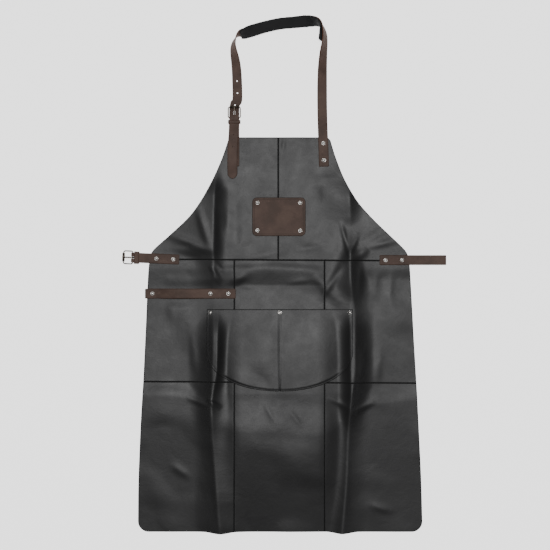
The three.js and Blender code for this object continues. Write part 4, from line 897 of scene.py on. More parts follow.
class Scatter(Nodes):
    """A geometry node tree that puts small shapes along or on what it is given."""

    def __init__(self, name, sizes):
        self.tree = bpy.data.node_groups.new(name, "GeometryNodeTree")
        sockets = self.tree.interface
        sockets.new_socket("Geometry", in_out="INPUT", socket_type="NodeSocketGeometry")
        sockets.new_socket("Geometry", in_out="OUTPUT", socket_type="NodeSocketGeometry")
        self.inputs = {}
        for label, value in sizes.items():
            made = sockets.new_socket(label, in_out="INPUT", socket_type="NodeSocketFloat")
            made.default_value = value
            self.inputs[label] = (made.identifier, value)
        self.source = self.tree.nodes.new("NodeGroupInput")
        self.sink = self.tree.nodes.new("NodeGroupOutput")

    def given(self, label):
        return self.source.outputs[label]

    def join(self, *shapes):
        made = self.tree.nodes.new("GeometryNodeJoinGeometry")
        for shape in shapes:
            self.tree.links.new(shape, made.inputs[0])
        return made.outputs[0]

    def value(self, operation, *values):
        sockets = dict(enumerate(values))
        return self.node("ShaderNodeMath", {"operation": operation}, sockets).outputs[0]

    def triple(self, x, y, z):
        return self.node("ShaderNodeCombineXYZ", None, {0: x, 1: y, 2: z}).outputs[0]

    def ball(self, segments, rings):
        sockets = {"Segments": segments, "Rings": rings, "Radius": 1.0}
        return self.node("GeometryNodeMeshUVSphere", None, sockets).outputs[0]

    def moved(self, shape, **sockets):
        return self.node("GeometryNodeTransform", None, {"Geometry": shape, **sockets}).outputs[0]

    def reading(self, name, kind):
        made = self.node("GeometryNodeInputNamedAttribute", {"data_type": kind}, {"Name": name})
        return made.outputs["Attribute"]

    def end(self, shape, material):
        real = self.node("GeometryNodeRealizeInstances", None, {"Geometry": shape})
        last = self.node("GeometryNodeSetMaterial", None, {"Geometry": real.outputs[0], "Material": material})
        self.tree.links.new(last.outputs[0], self.sink.inputs[0])

    def run(self, name, points, edges, attributes, material, sharp=35):
        """Puts the tree on a bare mesh and gives back the result as a plain mesh object."""
        mesh = bpy.data.meshes.new(name)
        mesh.from_pydata((np.asarray(points, float) * MM).tolist(), edges, [])
        for label, values in attributes.items():
            values = np.asarray(values, np.float32)
            kind, key = ("FLOAT_VECTOR", "vector") if values.ndim == 2 else ("FLOAT", "value")
            mesh.attributes.new(label, kind, "POINT").data.foreach_set(key, values.ravel())
        made = bpy.data.objects.new(name, mesh)
        bpy.context.scene.collection.objects.link(made)
        change = made.modifiers.new("Scatter", "NODES")
        change.node_group = self.tree
        for identifier, value in self.inputs.values():
            change[identifier] = value
        baked(made, sharp)
        if not len(made.data.polygons):
            raise RuntimeError(f"{name}: the node tree made nothing")
        if not made.data.materials:
            made.data.materials.append(material)
        return made


def rivet_tree(sizes, material):
    """Domed caps, posts and back discs at each point, square to its own direction."""
    given = {"Radius": sizes.rivet_radius, "Dome": sizes.rivet_dome, "Rim": 0.35 * MM, "Post": 1.5 * MM}
    tree = Scatter("Rivets", {**given, "Back": 3.5 * MM})
    out = tree.reading("out", "FLOAT_VECTOR")
    deep = tree.reading("deep", "FLOAT")
    turn = tree.node("FunctionNodeAlignEulerToVector", {"axis": "Z"}, {"Vector": out}).outputs[0]
    ball = tree.ball(28, 14)
    place = tree.node("GeometryNodeInputPosition").outputs[0]
    split = tree.node("ShaderNodeSeparateXYZ", None, {0: place})
    under = tree.value("MINIMUM", split.outputs[2], 0.0)
    raised = tree.triple(0.0, 0.0, tree.value("MULTIPLY", under, -1.0))
    dome = tree.node("GeometryNodeSetPosition", None, {"Geometry": ball, "Offset": raised}).outputs[0]
    wide = tree.value("MULTIPLY", tree.given("Radius"), 0.9)
    dome_size = tree.triple(wide, wide, tree.value("SUBTRACT", tree.given("Dome"), tree.given("Rim")))
    dome_up = tree.triple(0.0, 0.0, tree.value("MULTIPLY", tree.given("Rim"), 0.9))
    dome = tree.moved(dome, Scale=dome_size, Translation=dome_up)

    def disc(radius, depth, low):
        sockets = {"Vertices": 28, "Radius": radius, "Depth": depth}
        drum = tree.node("GeometryNodeMeshCylinder", None, sockets).outputs[0]
        up = tree.triple(0.0, 0.0, tree.value("ADD", tree.value("MULTIPLY", depth, 0.5), low))
        return tree.moved(drum, Translation=up)

    rim = disc(tree.given("Radius"), tree.given("Rim"), 0.0)
    cap = tree.join(dome, rim)
    shaft = disc(tree.given("Post"), 1.0, -1.0)
    back = disc(tree.given("Back"), 0.5 * MM, 0.0)
    points = tree.given("Geometry")

    def put(at, shape, scale=None):
        sockets = {"Points": at, "Instance": shape, "Rotation": turn}
        if scale is not None:
            sockets["Scale"] = scale
        return tree.node("GeometryNodeInstanceOnPoints", None, sockets).outputs[0]

    back_down = {0: out, "Scale": tree.value("MULTIPLY", deep, -1.0)}
    down = tree.node("ShaderNodeVectorMath", {"operation": "SCALE"}, back_down).outputs[0]
    low = tree.node("GeometryNodeSetPosition", None, {"Geometry": points, "Offset": down}).outputs[0]
    shafts = put(points, shaft, tree.triple(1.0, 1.0, deep))
    tree.end(tree.join(put(points, cap), shafts, put(low, back)), material)
    return tree


def stitch_tree(sizes, material):
    """Small stitches one after another along each line, laid flat on the leather."""
    given = {"Pitch": sizes.stitch_pitch, "Length": sizes.stitch_length, "Thread": sizes.stitch_thread}
    tree = Scatter("Stitches", given)
    line = tree.node("GeometryNodeMeshToCurve", None, {"Mesh": tree.given("Geometry")}).outputs[0]
    sockets = {"Curve": line, "Length": tree.given("Pitch")}
    spaced = tree.node("GeometryNodeResampleCurve", {"mode": "LENGTH"}, sockets).outputs[0]
    tangent = tree.node("GeometryNodeInputTangent").outputs[0]
    out = tree.reading("out", "FLOAT_VECTOR")
    along = tree.node("FunctionNodeAlignEulerToVector", {"axis": "X"}, {"Vector": tangent}).outputs[0]
    turn = tree.node(
        "FunctionNodeAlignEulerToVector", {"axis": "Z", "pivot_axis": "X"}, {"Rotation": along, "Vector": out}
    ).outputs[0]
    ball = tree.ball(8, 5)
    half = tree.value("MULTIPLY", tree.given("Length"), 0.5)
    thin = tree.value("MULTIPLY", tree.given("Thread"), 0.5)
    shape = tree.moved(ball, Scale=tree.triple(half, thin, thin))
    sockets = {"Points": spaced, "Instance": shape, "Rotation": turn}
    tree.end(tree.node("GeometryNodeInstanceOnPoints", None, sockets).outputs[0], material)
    return tree


# What a user may change

def size_of(name, description, metres):
    return FloatProperty(name=name, description=description, default=metres, min=0.0001, unit="LENGTH")


def colour_of(name, description, value):
    return FloatVectorProperty(name=name, description=description, default=value, subtype="COLOR")


class ApronSizes(bpy.types.PropertyGroup):
    """Sizes of the finish; the main sizes come from the frame."""

    grid: size_of("Grid", "Spacing of the leather's mesh", 0.0025)
    seam_depth: size_of("Seam depth", "How far edges turn down at a seam", 0.0013)
    seam_reach: size_of("Seam width", "Half the width of a seam's groove", 0.0021)
    border: size_of("Patch border", "Distance of the tooled line from the patch's edge", 0.0042)
    rivet_radius: size_of("Rivet radius", "Radius of a rivet's cap", RIVET * MM)
    rivet_dome: size_of("Rivet height", "Height of a rivet's cap", 0.0017)
    stitch_pitch: size_of("Stitch pitch", "Distance from stitch to stitch", 0.0032)
    stitch_length: size_of("Stitch length", "Length of one stitch", 0.0024)
    stitch_thread: size_of("Thread", "Thickness of the thread", 0.0007)
    pad_voxel: size_of("Pad mesh", "Spacing of the pad's mesh", 0.0016)
    pad_swell: size_of("Pad swell", "Furthest that the pad's cover may swell", 0.0013)
    pad_frames: IntProperty(name="Pad frames", description="Length of the simulation", default=20, min=1)


class ApronColours(bpy.types.PropertyGroup):
    """Colours and gloss of the finishes."""

    black: colour_of("Black leather", "Colour of the panels", (0.0085, 0.0084, 0.0088))
    brown: colour_of("Brown leather", "Colour of the straps and the patch", (0.108, 0.073, 0.06))
    cut: colour_of("Cut edge", "Colour of the straps' cut edges", (0.17, 0.07, 0.042))
    pad: colour_of("Pad", "Colour of the neck pad", (0.013, 0.0133, 0.0142))
    nickel: colour_of("Rivets", "Colour of the rivets", (0.34, 0.33, 0.315))
    bronze: colour_of("Buckles", "Colour of the buckles", (0.085, 0.07, 0.057))
    floor: colour_of("Floor", "Colour of the floor", (0.86, 0.86, 0.86))
    gloss: FloatProperty(name="Roughness", description="Mean roughness of the black leather", default=0.46)


class ApronStage(bpy.types.PropertyGroup):
    """Lights of the stage."""

    key: FloatProperty(name="Key light", description="Power of the soft light", default=148.0, unit="POWER")
    sky: FloatProperty(name="Surroundings", description="Strength of the light all round", default=0.15)


# Operators

def corner_inset(away, radius):
    """How far a round corner draws an edge in, at a distance from the edge beside it."""
    short = np.clip(1 - away / radius, 0, 1)
    return radius * (1 - np.sqrt(1 - short * short))


def outline(side):
    """One of the apron's side edges as a function of the height, with its corners."""
    column, sign = (1, 1) if side == "left" else (2, -1)

    def edge(y):
        x = HALF * follow(SIDES, column, (y - HEM) / HEIGHT)
        for away, radius in ((y - HEM, HEM_CORNER), (TOP - y, BIB_CORNER)):
            x = x + sign * corner_inset(away, radius)
        return x

    return edge


def hem(x):
    """The hem's height: it bulges out where the creases run over it."""
    drops = [ridge(x - crease_x(path, np.full_like(x, HEM)), CREASE_FOOT, 1) for _, path in CREASES]
    inside = ease(HALF * 0.97 - np.abs(x), 0, 14)
    return HEM - HEM_BULGE * np.maximum(*drops) * inside


def level(value):
    """An edge that keeps one value all along."""
    return lambda place: np.full_like(place, value)


class APRON_OT_panels(bpy.types.Operator):
    """Makes the eight leather panels with their folds and rolled seams"""

    bl_idname = "apron.panels"
    bl_label = "Panels"

    def execute(self, context):
        sizes = context.scene.apron_sizes
        spacing = sizes.grid / MM
        left, right = outline("left"), outline("right")
        middle, first, second, top = (level(at) for at in (BIB_SEAM, *SKIRT_SEAMS, TOP))
        # Left, right, low and high edges, size, and for each edge whether it is open or a seam
        panels = {
            "bib_left": (left, middle, waist_y, top, (274, 261), "osso"),
            "bib_right": (middle, right, waist_y, top, (277, 261), "soso"),
            "waist_left": (left, first, skirt_y, waist_y, (182, 260), "osss"),
            "waist_centre": (first, second, skirt_y, waist_y, (192, 260), "ssss"),
            "waist_right": (second, right, skirt_y, waist_y, (182, 260), "soss"),
            "skirt_left": (left, first, hem, skirt_y, (200, 318), "osos"),
            "skirt_centre": (first, second, hem, skirt_y, (192, 318), "ssos"),
            "skirt_right": (second, right, hem, skirt_y, (208, 318), "soos"),
        }
        groove = sizes.seam_depth / MM, sizes.seam_reach / MM
        for name, (x0, x1, y0, y1, (width, height), kinds) in panels.items():
            across, up = spread(width, spacing), spread(height, spacing)
            x, y, *away = grid_between(x0, x1, y0, y1, across, up)
            fall = np.zeros_like(x)
            for distance, kind in zip(away, kinds):
                deep, reach = groove if kind == "s" else (0.6, 1.0)
                fall = np.maximum(fall, roll_down(distance, deep, reach))
            base = ground(x, y)
            under = np.stack([x, y, base], -1)
            over = np.stack([x, y, base + LEATHER - fall], -1)
            piece = shell(name, over, under, finish(context, "leather_black"), np.minimum.reduce(away))
            dress(piece, "apron", "leather_black", name)
            span = (float(x.max() - x.min()) * MM, float(y.max() - y.min()) * MM)
        return {"FINISHED"}


def pocket_bulge(x, y):
    """How far the pocket stands off its panel: flat at its seams and its round bottom."""
    low = np.sqrt(np.clip(1 - (x / POCKET_HALF) ** 2, 0, 1)) * POCKET_DEPTH
    down = ease(-y, low - 6, low + 2)
    settled = 0.1 + 0.9 * np.clip((POCKET_MOUTH - y) / (POCKET_MOUTH + 50), 0, 1)
    middle = 0.85 + 0.15 * ease(np.abs(x), 3, 26)
    sides = ease(POCKET_HALF - np.abs(x), 4, 60)
    return POCKET_BULGE * sides * middle * (1 - down) * settled


def over_pocket(x, y):
    """How far the pocket's face is above the panel's underside."""
    return ON_PANEL + LEATHER + float(pocket_bulge(np.array(x), np.array(y)))


def pocket_half(y):
    """The pocket's half width at a height."""
    power = 2 / POCKET_ROUND
    low = np.clip(-y / POCKET_DEPTH, 0, 0.9985)
    return POCKET_HALF * (1 - low**power) ** (1 / power)


class APRON_OT_pocket(bpy.types.Operator):
    """Makes the wide pocket with its soft bulges, edge and middle seam"""

    bl_idname = "apron.pocket"
    bl_label = "Pocket"

    def execute(self, context):
        spacing = context.scene.apron_sizes.grid / MM
        angles = np.linspace(math.radians(87), 0, 64)
        round_rows = -POCKET_DEPTH * np.sin(angles) ** POCKET_ROUND
        straight = np.linspace(0, POCKET_MOUTH, 36)[1:]
        mouth = POCKET_MOUTH - np.array([1.6, 0.9, 0.4, 0.0])
        rows = np.concatenate([round_rows, straight[:-1], mouth])
        across = spread(2 * POCKET_HALF, spacing)
        y = np.repeat(rows[:, None], len(across), 1)
        half = pocket_half(y)
        x = -half + across[None, :, 0] * np.minimum(half / 20, 1) + across[None, :, 1] * 2 * half
        side = half - np.abs(x)
        steep = np.abs(np.gradient(pocket_half(rows), rows))[:, None]
        beside = side / np.hypot(1, np.minimum(steep, 40)) * np.where(side > 0, 1, 0)
        edge = np.minimum(beside, POCKET_MOUTH - y)
        edge = np.maximum(np.minimum(edge, y + POCKET_DEPTH + 0.02), 0)
        base = ground(x, y) + ON_PANEL + pocket_bulge(x, y)
        stitched = 0.3 * np.exp(-((edge - STITCH_INSET) ** 2)) * (POCKET_MOUTH - y > 4)
        seam = np.exp(-((x / 1.6) ** 2)) + stitched
        fall = roll_down(edge, 0.75, 1.5)
        over = np.stack([x, y, base + LEATHER - fall - seam], -1)
        under = np.stack([x, y, base], -1)
        piece = shell("pocket", over, under, finish(context, "leather_black"), np.minimum(edge, 30))
        dress(piece, "apron", "leather_black", "pocket")
        return {"FINISHED"}


class APRON_OT_patch(bpy.types.Operator):
    """Makes the plain patch on the bib with a tooled line round it"""

    bl_idname = "apron.patch"
    bl_label = "Patch"

    def execute(self, context):
        cx, cy, length, height, corner, wall = PATCH
        border = context.scene.apron_sizes.border / MM
        low, high = cy - height / 2, cy + height / 2

        def side(sign):
            def edge(y):
                away = np.minimum(y - low, high - y)
                return cx + sign * (length / 2 - corner_inset(away, corner))

            return edge

        across, up = spread(length, 1.2), spread(height, 1.2)
        x, y, *_ = grid_between(side(-1), side(1), level(low), level(high), across, up)
        dx = np.abs(x - cx) - (length / 2 - corner)
        dy = np.abs(y - cy) - (height / 2 - corner)
        outer = np.hypot(np.maximum(dx, 0), np.maximum(dy, 0)) + np.minimum(np.maximum(dx, dy), 0)
        away = np.maximum(corner - outer, 0)
        groove = 0.45 * np.exp(-(((away - border) / 0.8) ** 2))
        fall = roll_down(away, 1.0, 1.6) + groove
        base = ground(x, y) + ON_PANEL
        over = np.stack([x, y, base + wall - fall], -1)
        under = np.stack([x, y, base], -1)
        mark = np.minimum(away, np.abs(away - border) * 1.4 + 0.5)
        piece = shell("patch", over, under, finish(context, "leather_brown"), mark)
        dress(piece, "apron", "leather_brown", "patch")
        return {"FINISHED"}


def towel_line():
    """The towel strap's middle line, and the places of its rivets."""
    y = POCKET_MOUTH + 33.2
    start = float(outline("left")(np.array(y))) - 4.5
    end = SKIRT_SEAMS[0] + 3.2
    inset, pair = 15.7, 37.7
    rivets = [start + inset, end - inset - pair, end - inset]
    x = np.linspace(start, end, 60)
    seat = np.zeros_like(x)
    for dx in np.linspace(-9, 9, 7):
        for dy in np.linspace(-STRAP_WIDTH / 2, STRAP_WIDTH / 2, 5):
            seat = np.maximum(seat, ground(x + dx, np.full_like(x, y + dy)))
    first, last = rivets[0] + 2 * RIVET, rivets[1] - 2 * RIVET
    bow = 8.0 * np.sin(math.pi * np.clip((x - first) / (last - first), 0, 1)) ** 1.2
    return y, x, seat + ON_PANEL + bow + STRAP / 2, rivets


def declare_strap(length):
    length * MM


class APRON_OT_towel_strap(bpy.types.Operator):
    """Makes the strap that stands a little off the leather to hold a towel"""

    bl_idname = "apron.towel_strap"
    bl_label = "Towel strap"

    def execute(self, context):
        y, x, z, _ = towel_line()
        line = list(zip(x, z))
        piece, length = band("towel_strap", line, place_matrix(0, y, 0, 0), finish(context, "leather_brown"))
        dress(piece, "apron", "leather_brown", "towel_strap")
        declare_strap(length)
        return {"FINISHED"}


class APRON_OT_waist_straps(bpy.types.Operator):
    """Makes the two waist straps and the keeper"""

    bl_idname = "apron.waist_straps"
    bl_label = "Waist straps"

    def execute(self, context):
        brown = finish(context, "leather_brown")
        fold = (FRONT - STRAP / 2) / 2
        start, far, hidden_end = 212.1, 353.1, -244.8
        line = [(x, FRONT) for x in np.linspace(start, far - fold - 4, 12)]
        line += half_turn(far - fold, STRAP / 2 + fold, fold, 1)
        line += [(x, STRAP / 2) for x in np.linspace(far - fold - 4, hidden_end, 40)]
        piece, length = band("waist_strap_right", line, place_matrix(0, WAIST, SEATED, 0), brown)
        dress(piece, "apron", "leather_brown", "waist_strap_right")
        declare_strap(length)
        keeper_end = WAIST_KEEPER_X + 5.2 + 2
        upper, lower = OVER_HEEL, UNDER_HEEL
        line = [(48.7, FRONT), (30, FRONT), (10, FRONT), (-14.8, FRONT + 0.1), (-24, (FRONT + upper) / 2)]
        line += [(keeper_end, upper), (keeper_end - 6, upper), *half_turn(LEFT_HEEL, HEEL, TURN, -1)]
        line += [(keeper_end - 6, lower), (keeper_end, lower), (-24, lower - 0.6)]
        line += [(x, STRAP / 2 + SEATED) for x in (-14.8, -4, 10.2)]
        piece, length = band("waist_strap_left", line, LEFT_MATRIX, brown, spacing=1.6)
        at = LEFT_MATRIX @ Matrix.Translation((LEFT_HEEL - STRAP / 2, 0, HEEL))
        carve(piece, [box_cutter(PRONG_SLOT, at, brown)])
        dress(piece, "apron", "leather_brown", "waist_strap_left")
        declare_strap(length)
        at = LEFT_MATRIX @ Matrix.Translation((WAIST_KEEPER_X, 0, SEATED))
        loop = keeper("waist_keeper", 10.4, OVER_HEEL + STRAP / 2 + GAP, at, brown)
        dress(loop, "apron", "leather_brown", "waist_keeper")
        return {"FINISHED"}


class APRON_OT_neck_straps(bpy.types.Operator):
    """Makes the long neck strap, the short buckle strap and their keeper"""

    bl_idname = "apron.neck_straps"
    bl_label = "Neck straps"

    def execute(self, context):
        brown = finish(context, "leather_brown")
        line, along, even, length = even_line(neck_stations(), 2.6, index_keys=True)
        aside, face = strap_axes(along, line[:, 3])
        points = line[:, :3]
        half = end_rounding(even, length, 1.5, 12.0)
        rings, section = strap_rings(points, aside, face, half, STRAP)
        piece = loft("neck_strap", rings, brown, *strap_marks(section, even, length))
        left_run = points[points[:, 0] < 0]
        pitch = 25.5
        above = [NECK_HEEL + 28 + pitch * k for k in range(3)]
        below = [NECK_HEEL - 36 - pitch * k for k in range(2)]
        cutters = []
        for y in above + below:
            near = left_run[np.argmin(np.abs(left_run[:, 1] - y))]
            cutters.append(round_cutter(1.5, near[0], y, near[2] - 9, near[2] + 9, brown))
        slot = place_matrix(NECK_X, NECK_HEEL + 11, HEEL + 3, 90)
        cutters.append(box_cutter((9, 3.6, 12), slot, brown))
        carve(piece, cutters)
        dress(piece, "apron", "leather_brown", "neck_strap")
        declare_strap(length)
        behind = NECK_KEEPER_Y - 3.75 - GAP
        seat, upper, lower = ON_PANEL + STRAP / 2, OVER_HEEL, UNDER_HEEL
        line = [(NECK_END, seat), (NECK_END + 20, seat), (TOP - 18, seat), (TOP - 4, seat)]
        line += [((TOP - 4 + behind) / 2, (seat + upper) / 2), (behind, upper), (behind + 5, upper)]
        line += [*half_turn(NECK_HEEL, HEEL, TURN, 1), (behind + 5, lower), (behind, lower)]
        line += [(TOP + 12, lower - 2 * GAP)]
        piece, length = band("neck_buckle_strap", line, NECK_BAND_MATRIX, brown, spacing=1.6)
        at = NECK_BAND_MATRIX @ Matrix.Translation((NECK_HEEL + STRAP / 2, 0, HEEL))
        carve(piece, [box_cutter(PRONG_SLOT, at, brown)])
        dress(piece, "apron", "leather_brown", "neck_buckle_strap")
        declare_strap(length)
        at = NECK_BAND_MATRIX @ Matrix.Translation((NECK_KEEPER_Y, 0, SEATED))
        top = OVER_HEEL + 3 * STRAP / 2 + 3 * GAP
        loop = keeper("neck_keeper", 7.5, top, at, brown)
        dress(loop, "apron", "leather_brown", "neck_keeper")
        return {"FINISHED"}


class APRON_OT_pad(bpy.types.Operator):
    """Makes the soft neck pad, swollen by a short cloth simulation"""

    bl_idname = "apron.pad"
    bl_label = "Neck pad"

    def execute(self, context):
        sizes = context.scene.apron_sizes
        table = np.array(neck_stations())
        keyed = np.column_stack([np.arange(len(table)), table])
        at = np.linspace(9, 22.5, 150)
        line = np.stack([follow(keyed, n, at) for n in range(1, 5)], 1)
        along = unit(np.gradient(line[:, :3], axis=0))
        aside, face = strap_axes(along, line[:, 3])
        near_end = np.minimum(np.minimum(at - at[0], at[-1] - at) / 0.42, 1)
        full = np.sqrt(1 - (1 - near_end) ** 2)
        half = PAD_WIDTH / 2 * np.maximum(full, 0.3)
        bunched = 1 + 0.9 * ease(-at, -11.5, -9.6)
        creased = 1 + 0.1 * np.sin(9 * at) * np.exp(-(((at - 12) / 1.4) ** 2))
        thick = PAD_WALL / 2 * bunched * creased * np.maximum(full, 0.45)
        section = oval_section(1.0, 26, 0.7)
        middle = line[:, :3] - (STRAP / 2 + 2 * GAP + thick)[:, None] * face
        rings = swept(middle, aside, face, half, thick, section)
        piece = loft("neck_pad", rings, finish(context, "pad_black"))
        swell(piece, sizes)
        dress(piece, "apron", "pad_black", "neck_pad")
        return {"FINISHED"}


def swell(piece, sizes):
    """Remeshes a pad and lets its cover swell like cloth, no further than its cap."""
    remesh = piece.modifiers.new("Remesh", "REMESH")
    remesh.mode, remesh.voxel_size = "VOXEL", sizes.pad_voxel
    baked(piece)
    rest = np.empty(len(piece.data.vertices) * 3)
    piece.data.vertices.foreach_get("co", rest)
    cloth = piece.modifiers.new("Cloth", "CLOTH")
    cloth.settings.use_pressure = True
    cloth.settings.uniform_pressure_force = 2.5
    cloth.settings.effector_weights.gravity = 0
    cloth.point_cache.frame_end = sizes.pad_frames
    scene = bpy.context.scene
    for step in range(1, sizes.pad_frames + 1):
        scene.frame_set(step)
    graph = bpy.context.evaluated_depsgraph_get()
    swollen = np.empty_like(rest)
    shaped = piece.evaluated_get(graph).data
    shaped.vertices.foreach_get("co", swollen)
    piece.modifiers.clear()
    scene.frame_set(1)
    move = (swollen - rest).reshape(-1, 3)
    far = np.linalg.norm(move, axis=1, keepdims=True)
    move = move * np.minimum(1, sizes.pad_swell / np.maximum(far, 1e-9))
    piece.data.vertices.foreach_set("co", (rest.reshape(-1, 3) + move).ravel())
    smooth = piece.modifiers.new("Subdivision", "SUBSURF")
    smooth.levels = smooth.render_levels = 1
    baked(piece)


class APRON_OT_buckles(bpy.types.Operator):
    """Makes both buckles: frames, rollers and prongs"""

    bl_idname = "apron.buckles"
    bl_label = "Buckles"

    def execute(self, context):
        metal = finish(context, "bronze")
        rows = [
            ("waist", *WAIST_BUCKLE, WAIST_BUCKLE_MATRIX, ("waist_buckle", "waist_roller", "waist_prong")),
            ("neck", *NECK_BUCKLE, NECK_BUCKLE_MATRIX, ("apron", "apron", "apron")),
        ]
        for name, length, width, matrix, bodies in rows:
            parts = [
                buckle_frame(f"{name}_buckle_frame", length, width, matrix, metal),
                buckle_roller(f"{name}_buckle_roller", length - BAR, matrix, metal),
                buckle_prong(f"{name}_buckle_prong", length - BAR, matrix, metal),
            ]
            for part, body in zip(parts, bodies):
                dress(part, body, "bronze", part.name.removesuffix("_finish"))
        return {"FINISHED"}


def seated(name, x, y, deep):
    """The row of a rivet that follows the slope of the leather under it."""
    return name, x, y, float(ground(x, y)) + deep, slope_out(x, y), deep


def rivet_rows():
    """Each rivet's node, the place under its cap, its direction and the depth of its layers."""
    up = Vector((0, 0, 1))
    rows = []
    cx, cy, length, height, _, wall = PATCH
    for side, sx in (("left", -1), ("right", 1)):
        for end, sy in (("low", -1), ("high", 1)):
            x, y = cx + sx * (length / 2 - PATCH_RIVET), cy + sy * (height / 2 - PATCH_RIVET)
            rows.append(seated(f"patch_rivet_{side}_{end}", x, y, ON_PANEL + wall))
    out, y = POCKET_RIVET
    for side, x in (("left", -out), ("middle", 0.0), ("right", out)):
        rows.append(seated(f"pocket_rivet_{side}", x, y, over_pocket(x, y)))
    y, xs, zs, places = towel_line()
    for k, x in enumerate(places):
        top = float(np.interp(x, xs, zs)) + STRAP / 2
        rows.append((f"towel_rivet_{k + 1}", x, y, top, up, top - float(ground(x, y))))
    front = FRONT + STRAP / 2
    for k, x in enumerate(WAIST_RIVETS):
        rows.append((f"waist_right_rivet_{k + 1}", x, WAIST, front, up, front - SEATED))
    inner = LEFT_MATRIX @ Vector((36.3, 0, 0))
    rows.append(("waist_left_rivet_1", *LEFT_PIVOT, front, up, front - SEATED))
    rows.append(("waist_left_rivet_2", inner.x, inner.y, front, up, front - TUNNEL))
    run = [(rise, across) for across, rise, _, _ in NECK_RUN[:4]]
    for k, y in enumerate((TOP - NECK_RIVET, NECK_END + NECK_RIVET)):
        top = ON_PANEL + STRAP
        x = NECK_WIDE * float(follow(run, 1, np.array((y - TOP) / NECK_HIGH)))
        rows.append((f"neck_right_rivet_{k + 1}", x, y, top, up, top))
        rows.append((f"neck_left_rivet_{k + 1}", NECK_X, y, top, up, top))
    return rows


class APRON_OT_rivets(bpy.types.Operator):
    """Makes all the domed rivets with one node tree"""

    bl_idname = "apron.rivets"
    bl_label = "Rivets"

    def execute(self, context):
        rows = rivet_rows()
        metal = finish(context, "nickel")
        tree = rivet_tree(context.scene.apron_sizes, metal)
        points = [row[1:4] for row in rows]
        marks = {"out": [tuple(row[4]) for row in rows], "deep": [row[5] * MM for row in rows]}
        piece = tree.run("rivets", points, [], marks, metal)
        dress(piece, "apron", "nickel", *(row[0] for row in rows))
        return {"FINISHED"}


class APRON_OT_stitches(bpy.types.Operator):
    """Makes the pocket's stitches with one node tree"""

    bl_idname = "apron.stitches"
    bl_label = "Stitches"

    def execute(self, context):
        half, depth = POCKET_HALF - STITCH_INSET, POCKET_DEPTH - STITCH_INSET
        angle = np.linspace(math.pi, 2 * math.pi, 160)
        round_x = np.sign(np.cos(angle)) * np.abs(np.cos(angle)) ** POCKET_ROUND * half
        round_y = -(np.abs(np.sin(angle)) ** POCKET_ROUND) * depth
        side = np.linspace(POCKET_MOUTH - 14, 0, 30)[:-1]
        edge_x = np.concatenate([0 * side - half, round_x, 0 * side + half])
        edge_y = np.concatenate([side, round_y, side[::-1]])
        middle_y = np.linspace(POCKET_MOUTH - 14, -POCKET_DEPTH + 5, 80)
        points, outs, edges = [], [], []
        for xs, ys in ((edge_x, edge_y), (0 * middle_y, middle_y)):
            first = len(points)
            for x, y in zip(xs, ys):
                points.append((x, y, float(ground(x, y)) + over_pocket(x, y) - 0.32))
                outs.append(tuple(slope_out(x, y)))
            edges += [(k, k + 1) for k in range(first, len(points) - 1)]
        thread = finish(context, "thread_black")
        tree = stitch_tree(context.scene.apron_sizes, thread)
        piece = tree.run("pocket_stitches", points, edges, {"out": outs}, thread)
        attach(piece, "apron")
        return {"FINISHED"}


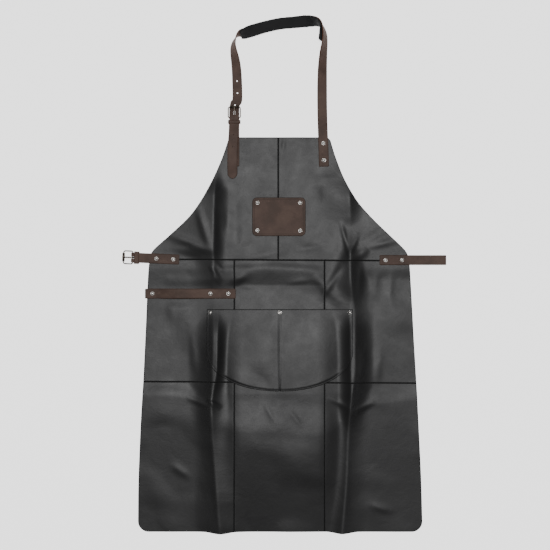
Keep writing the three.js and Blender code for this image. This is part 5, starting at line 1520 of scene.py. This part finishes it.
class APRON_OT_stage(bpy.types.Operator):
    """Makes the pale floor, the soft lights and the camera straight above"""

    bl_idname = "apron.stage"
    bl_label = "Stage"

    def execute(self, context):
        scene = context.scene
        lights = scene.apron_stage
        camera = bpy.data.cameras.new("Camera")
        camera.lens, camera.sensor_width = 100.0, 36.0
        camera.clip_start, camera.clip_end = 0.05, 50
        view = bpy.data.objects.new("Camera", camera)
        view.location = CAMERA
        scene.collection.objects.link(view)
        scene.camera = view
        reach, under = 6.0, -0.0003
        floor = bpy.data.meshes.new("floor")
        corners = [(x * reach, y * reach, under) for x, y in ((-1, -1), (1, -1), (1, 1), (-1, 1))]
        floor.from_pydata(corners, [], [(0, 1, 2, 3)])
        floor.materials.append(finish(context, "floor_pale"))
        ground_piece = bpy.data.objects.new("floor", floor)
        scene.collection.objects.link(ground_piece)
        world = bpy.data.worlds.new("World")
        scene.world = world
        world.use_nodes = True
        sky = world.node_tree.nodes["Background"].inputs
        sky["Color"].default_value, sky["Strength"].default_value = (1, 1, 1, 1), lights.sky
        soft_light(scene, "Key", KEY, KEY_AIM, lights.key, *KEY_SIZE)
        return {"FINISHED"}


def soft_light(scene, name, place, aim, power, width, height):
    lamp = bpy.data.lights.new(name, "AREA")
    lamp.shape, lamp.size, lamp.size_y, lamp.energy = "RECTANGLE", width, height, power
    holder = bpy.data.objects.new(name, lamp)
    holder.location = place
    holder.rotation_euler = (Vector(aim) - Vector(place)).to_track_quat("-Z", "Y").to_euler()
    scene.collection.objects.link(holder)


class APRON_PT_panel(bpy.types.Panel):
    """Lists the apron's pieces in the sidebar"""

    bl_idname = "APRON_PT_panel"
    bl_label = "Leather Apron"
    bl_space_type = "VIEW_3D"
    bl_region_type = "UI"
    bl_category = "Apron"

    def draw(self, context):
        for group in (context.scene.apron_sizes, context.scene.apron_colours, context.scene.apron_stage):
            box = self.layout.box()
            for name in group.__annotations__:
                box.prop(group, name)
        for step in STEPS:
            self.layout.operator(step.bl_idname)


GROUPS = {"apron_sizes": ApronSizes, "apron_colours": ApronColours, "apron_stage": ApronStage}
STEPS = (
    APRON_OT_stage, APRON_OT_panels, APRON_OT_pocket, APRON_OT_patch, APRON_OT_towel_strap,
    APRON_OT_waist_straps, APRON_OT_neck_straps, APRON_OT_pad, APRON_OT_buckles, APRON_OT_rivets,
    APRON_OT_stitches,
)


def register():
    for made in (*GROUPS.values(), *STEPS, APRON_PT_panel):
        bpy.utils.register_class(made)
    for name, group in GROUPS.items():
        setattr(bpy.types.Scene, name, PointerProperty(type=group))


def unregister():
    for name in GROUPS:
        delattr(bpy.types.Scene, name)
    for made in reversed((*GROUPS.values(), *STEPS, APRON_PT_panel)):
        bpy.utils.unregister_class(made)


def main():
    register()
    bpy.ops.apron.stage()
    bpy.ops.apron.panels()
    bpy.ops.apron.pocket()
    bpy.ops.apron.patch()
    bpy.ops.apron.towel_strap()
    bpy.ops.apron.waist_straps()
    bpy.ops.apron.neck_straps()
    bpy.ops.apron.pad()
    bpy.ops.apron.buckles()
    bpy.ops.apron.rivets()
    bpy.ops.apron.stitches()


if __name__ == "__main__":
    main()
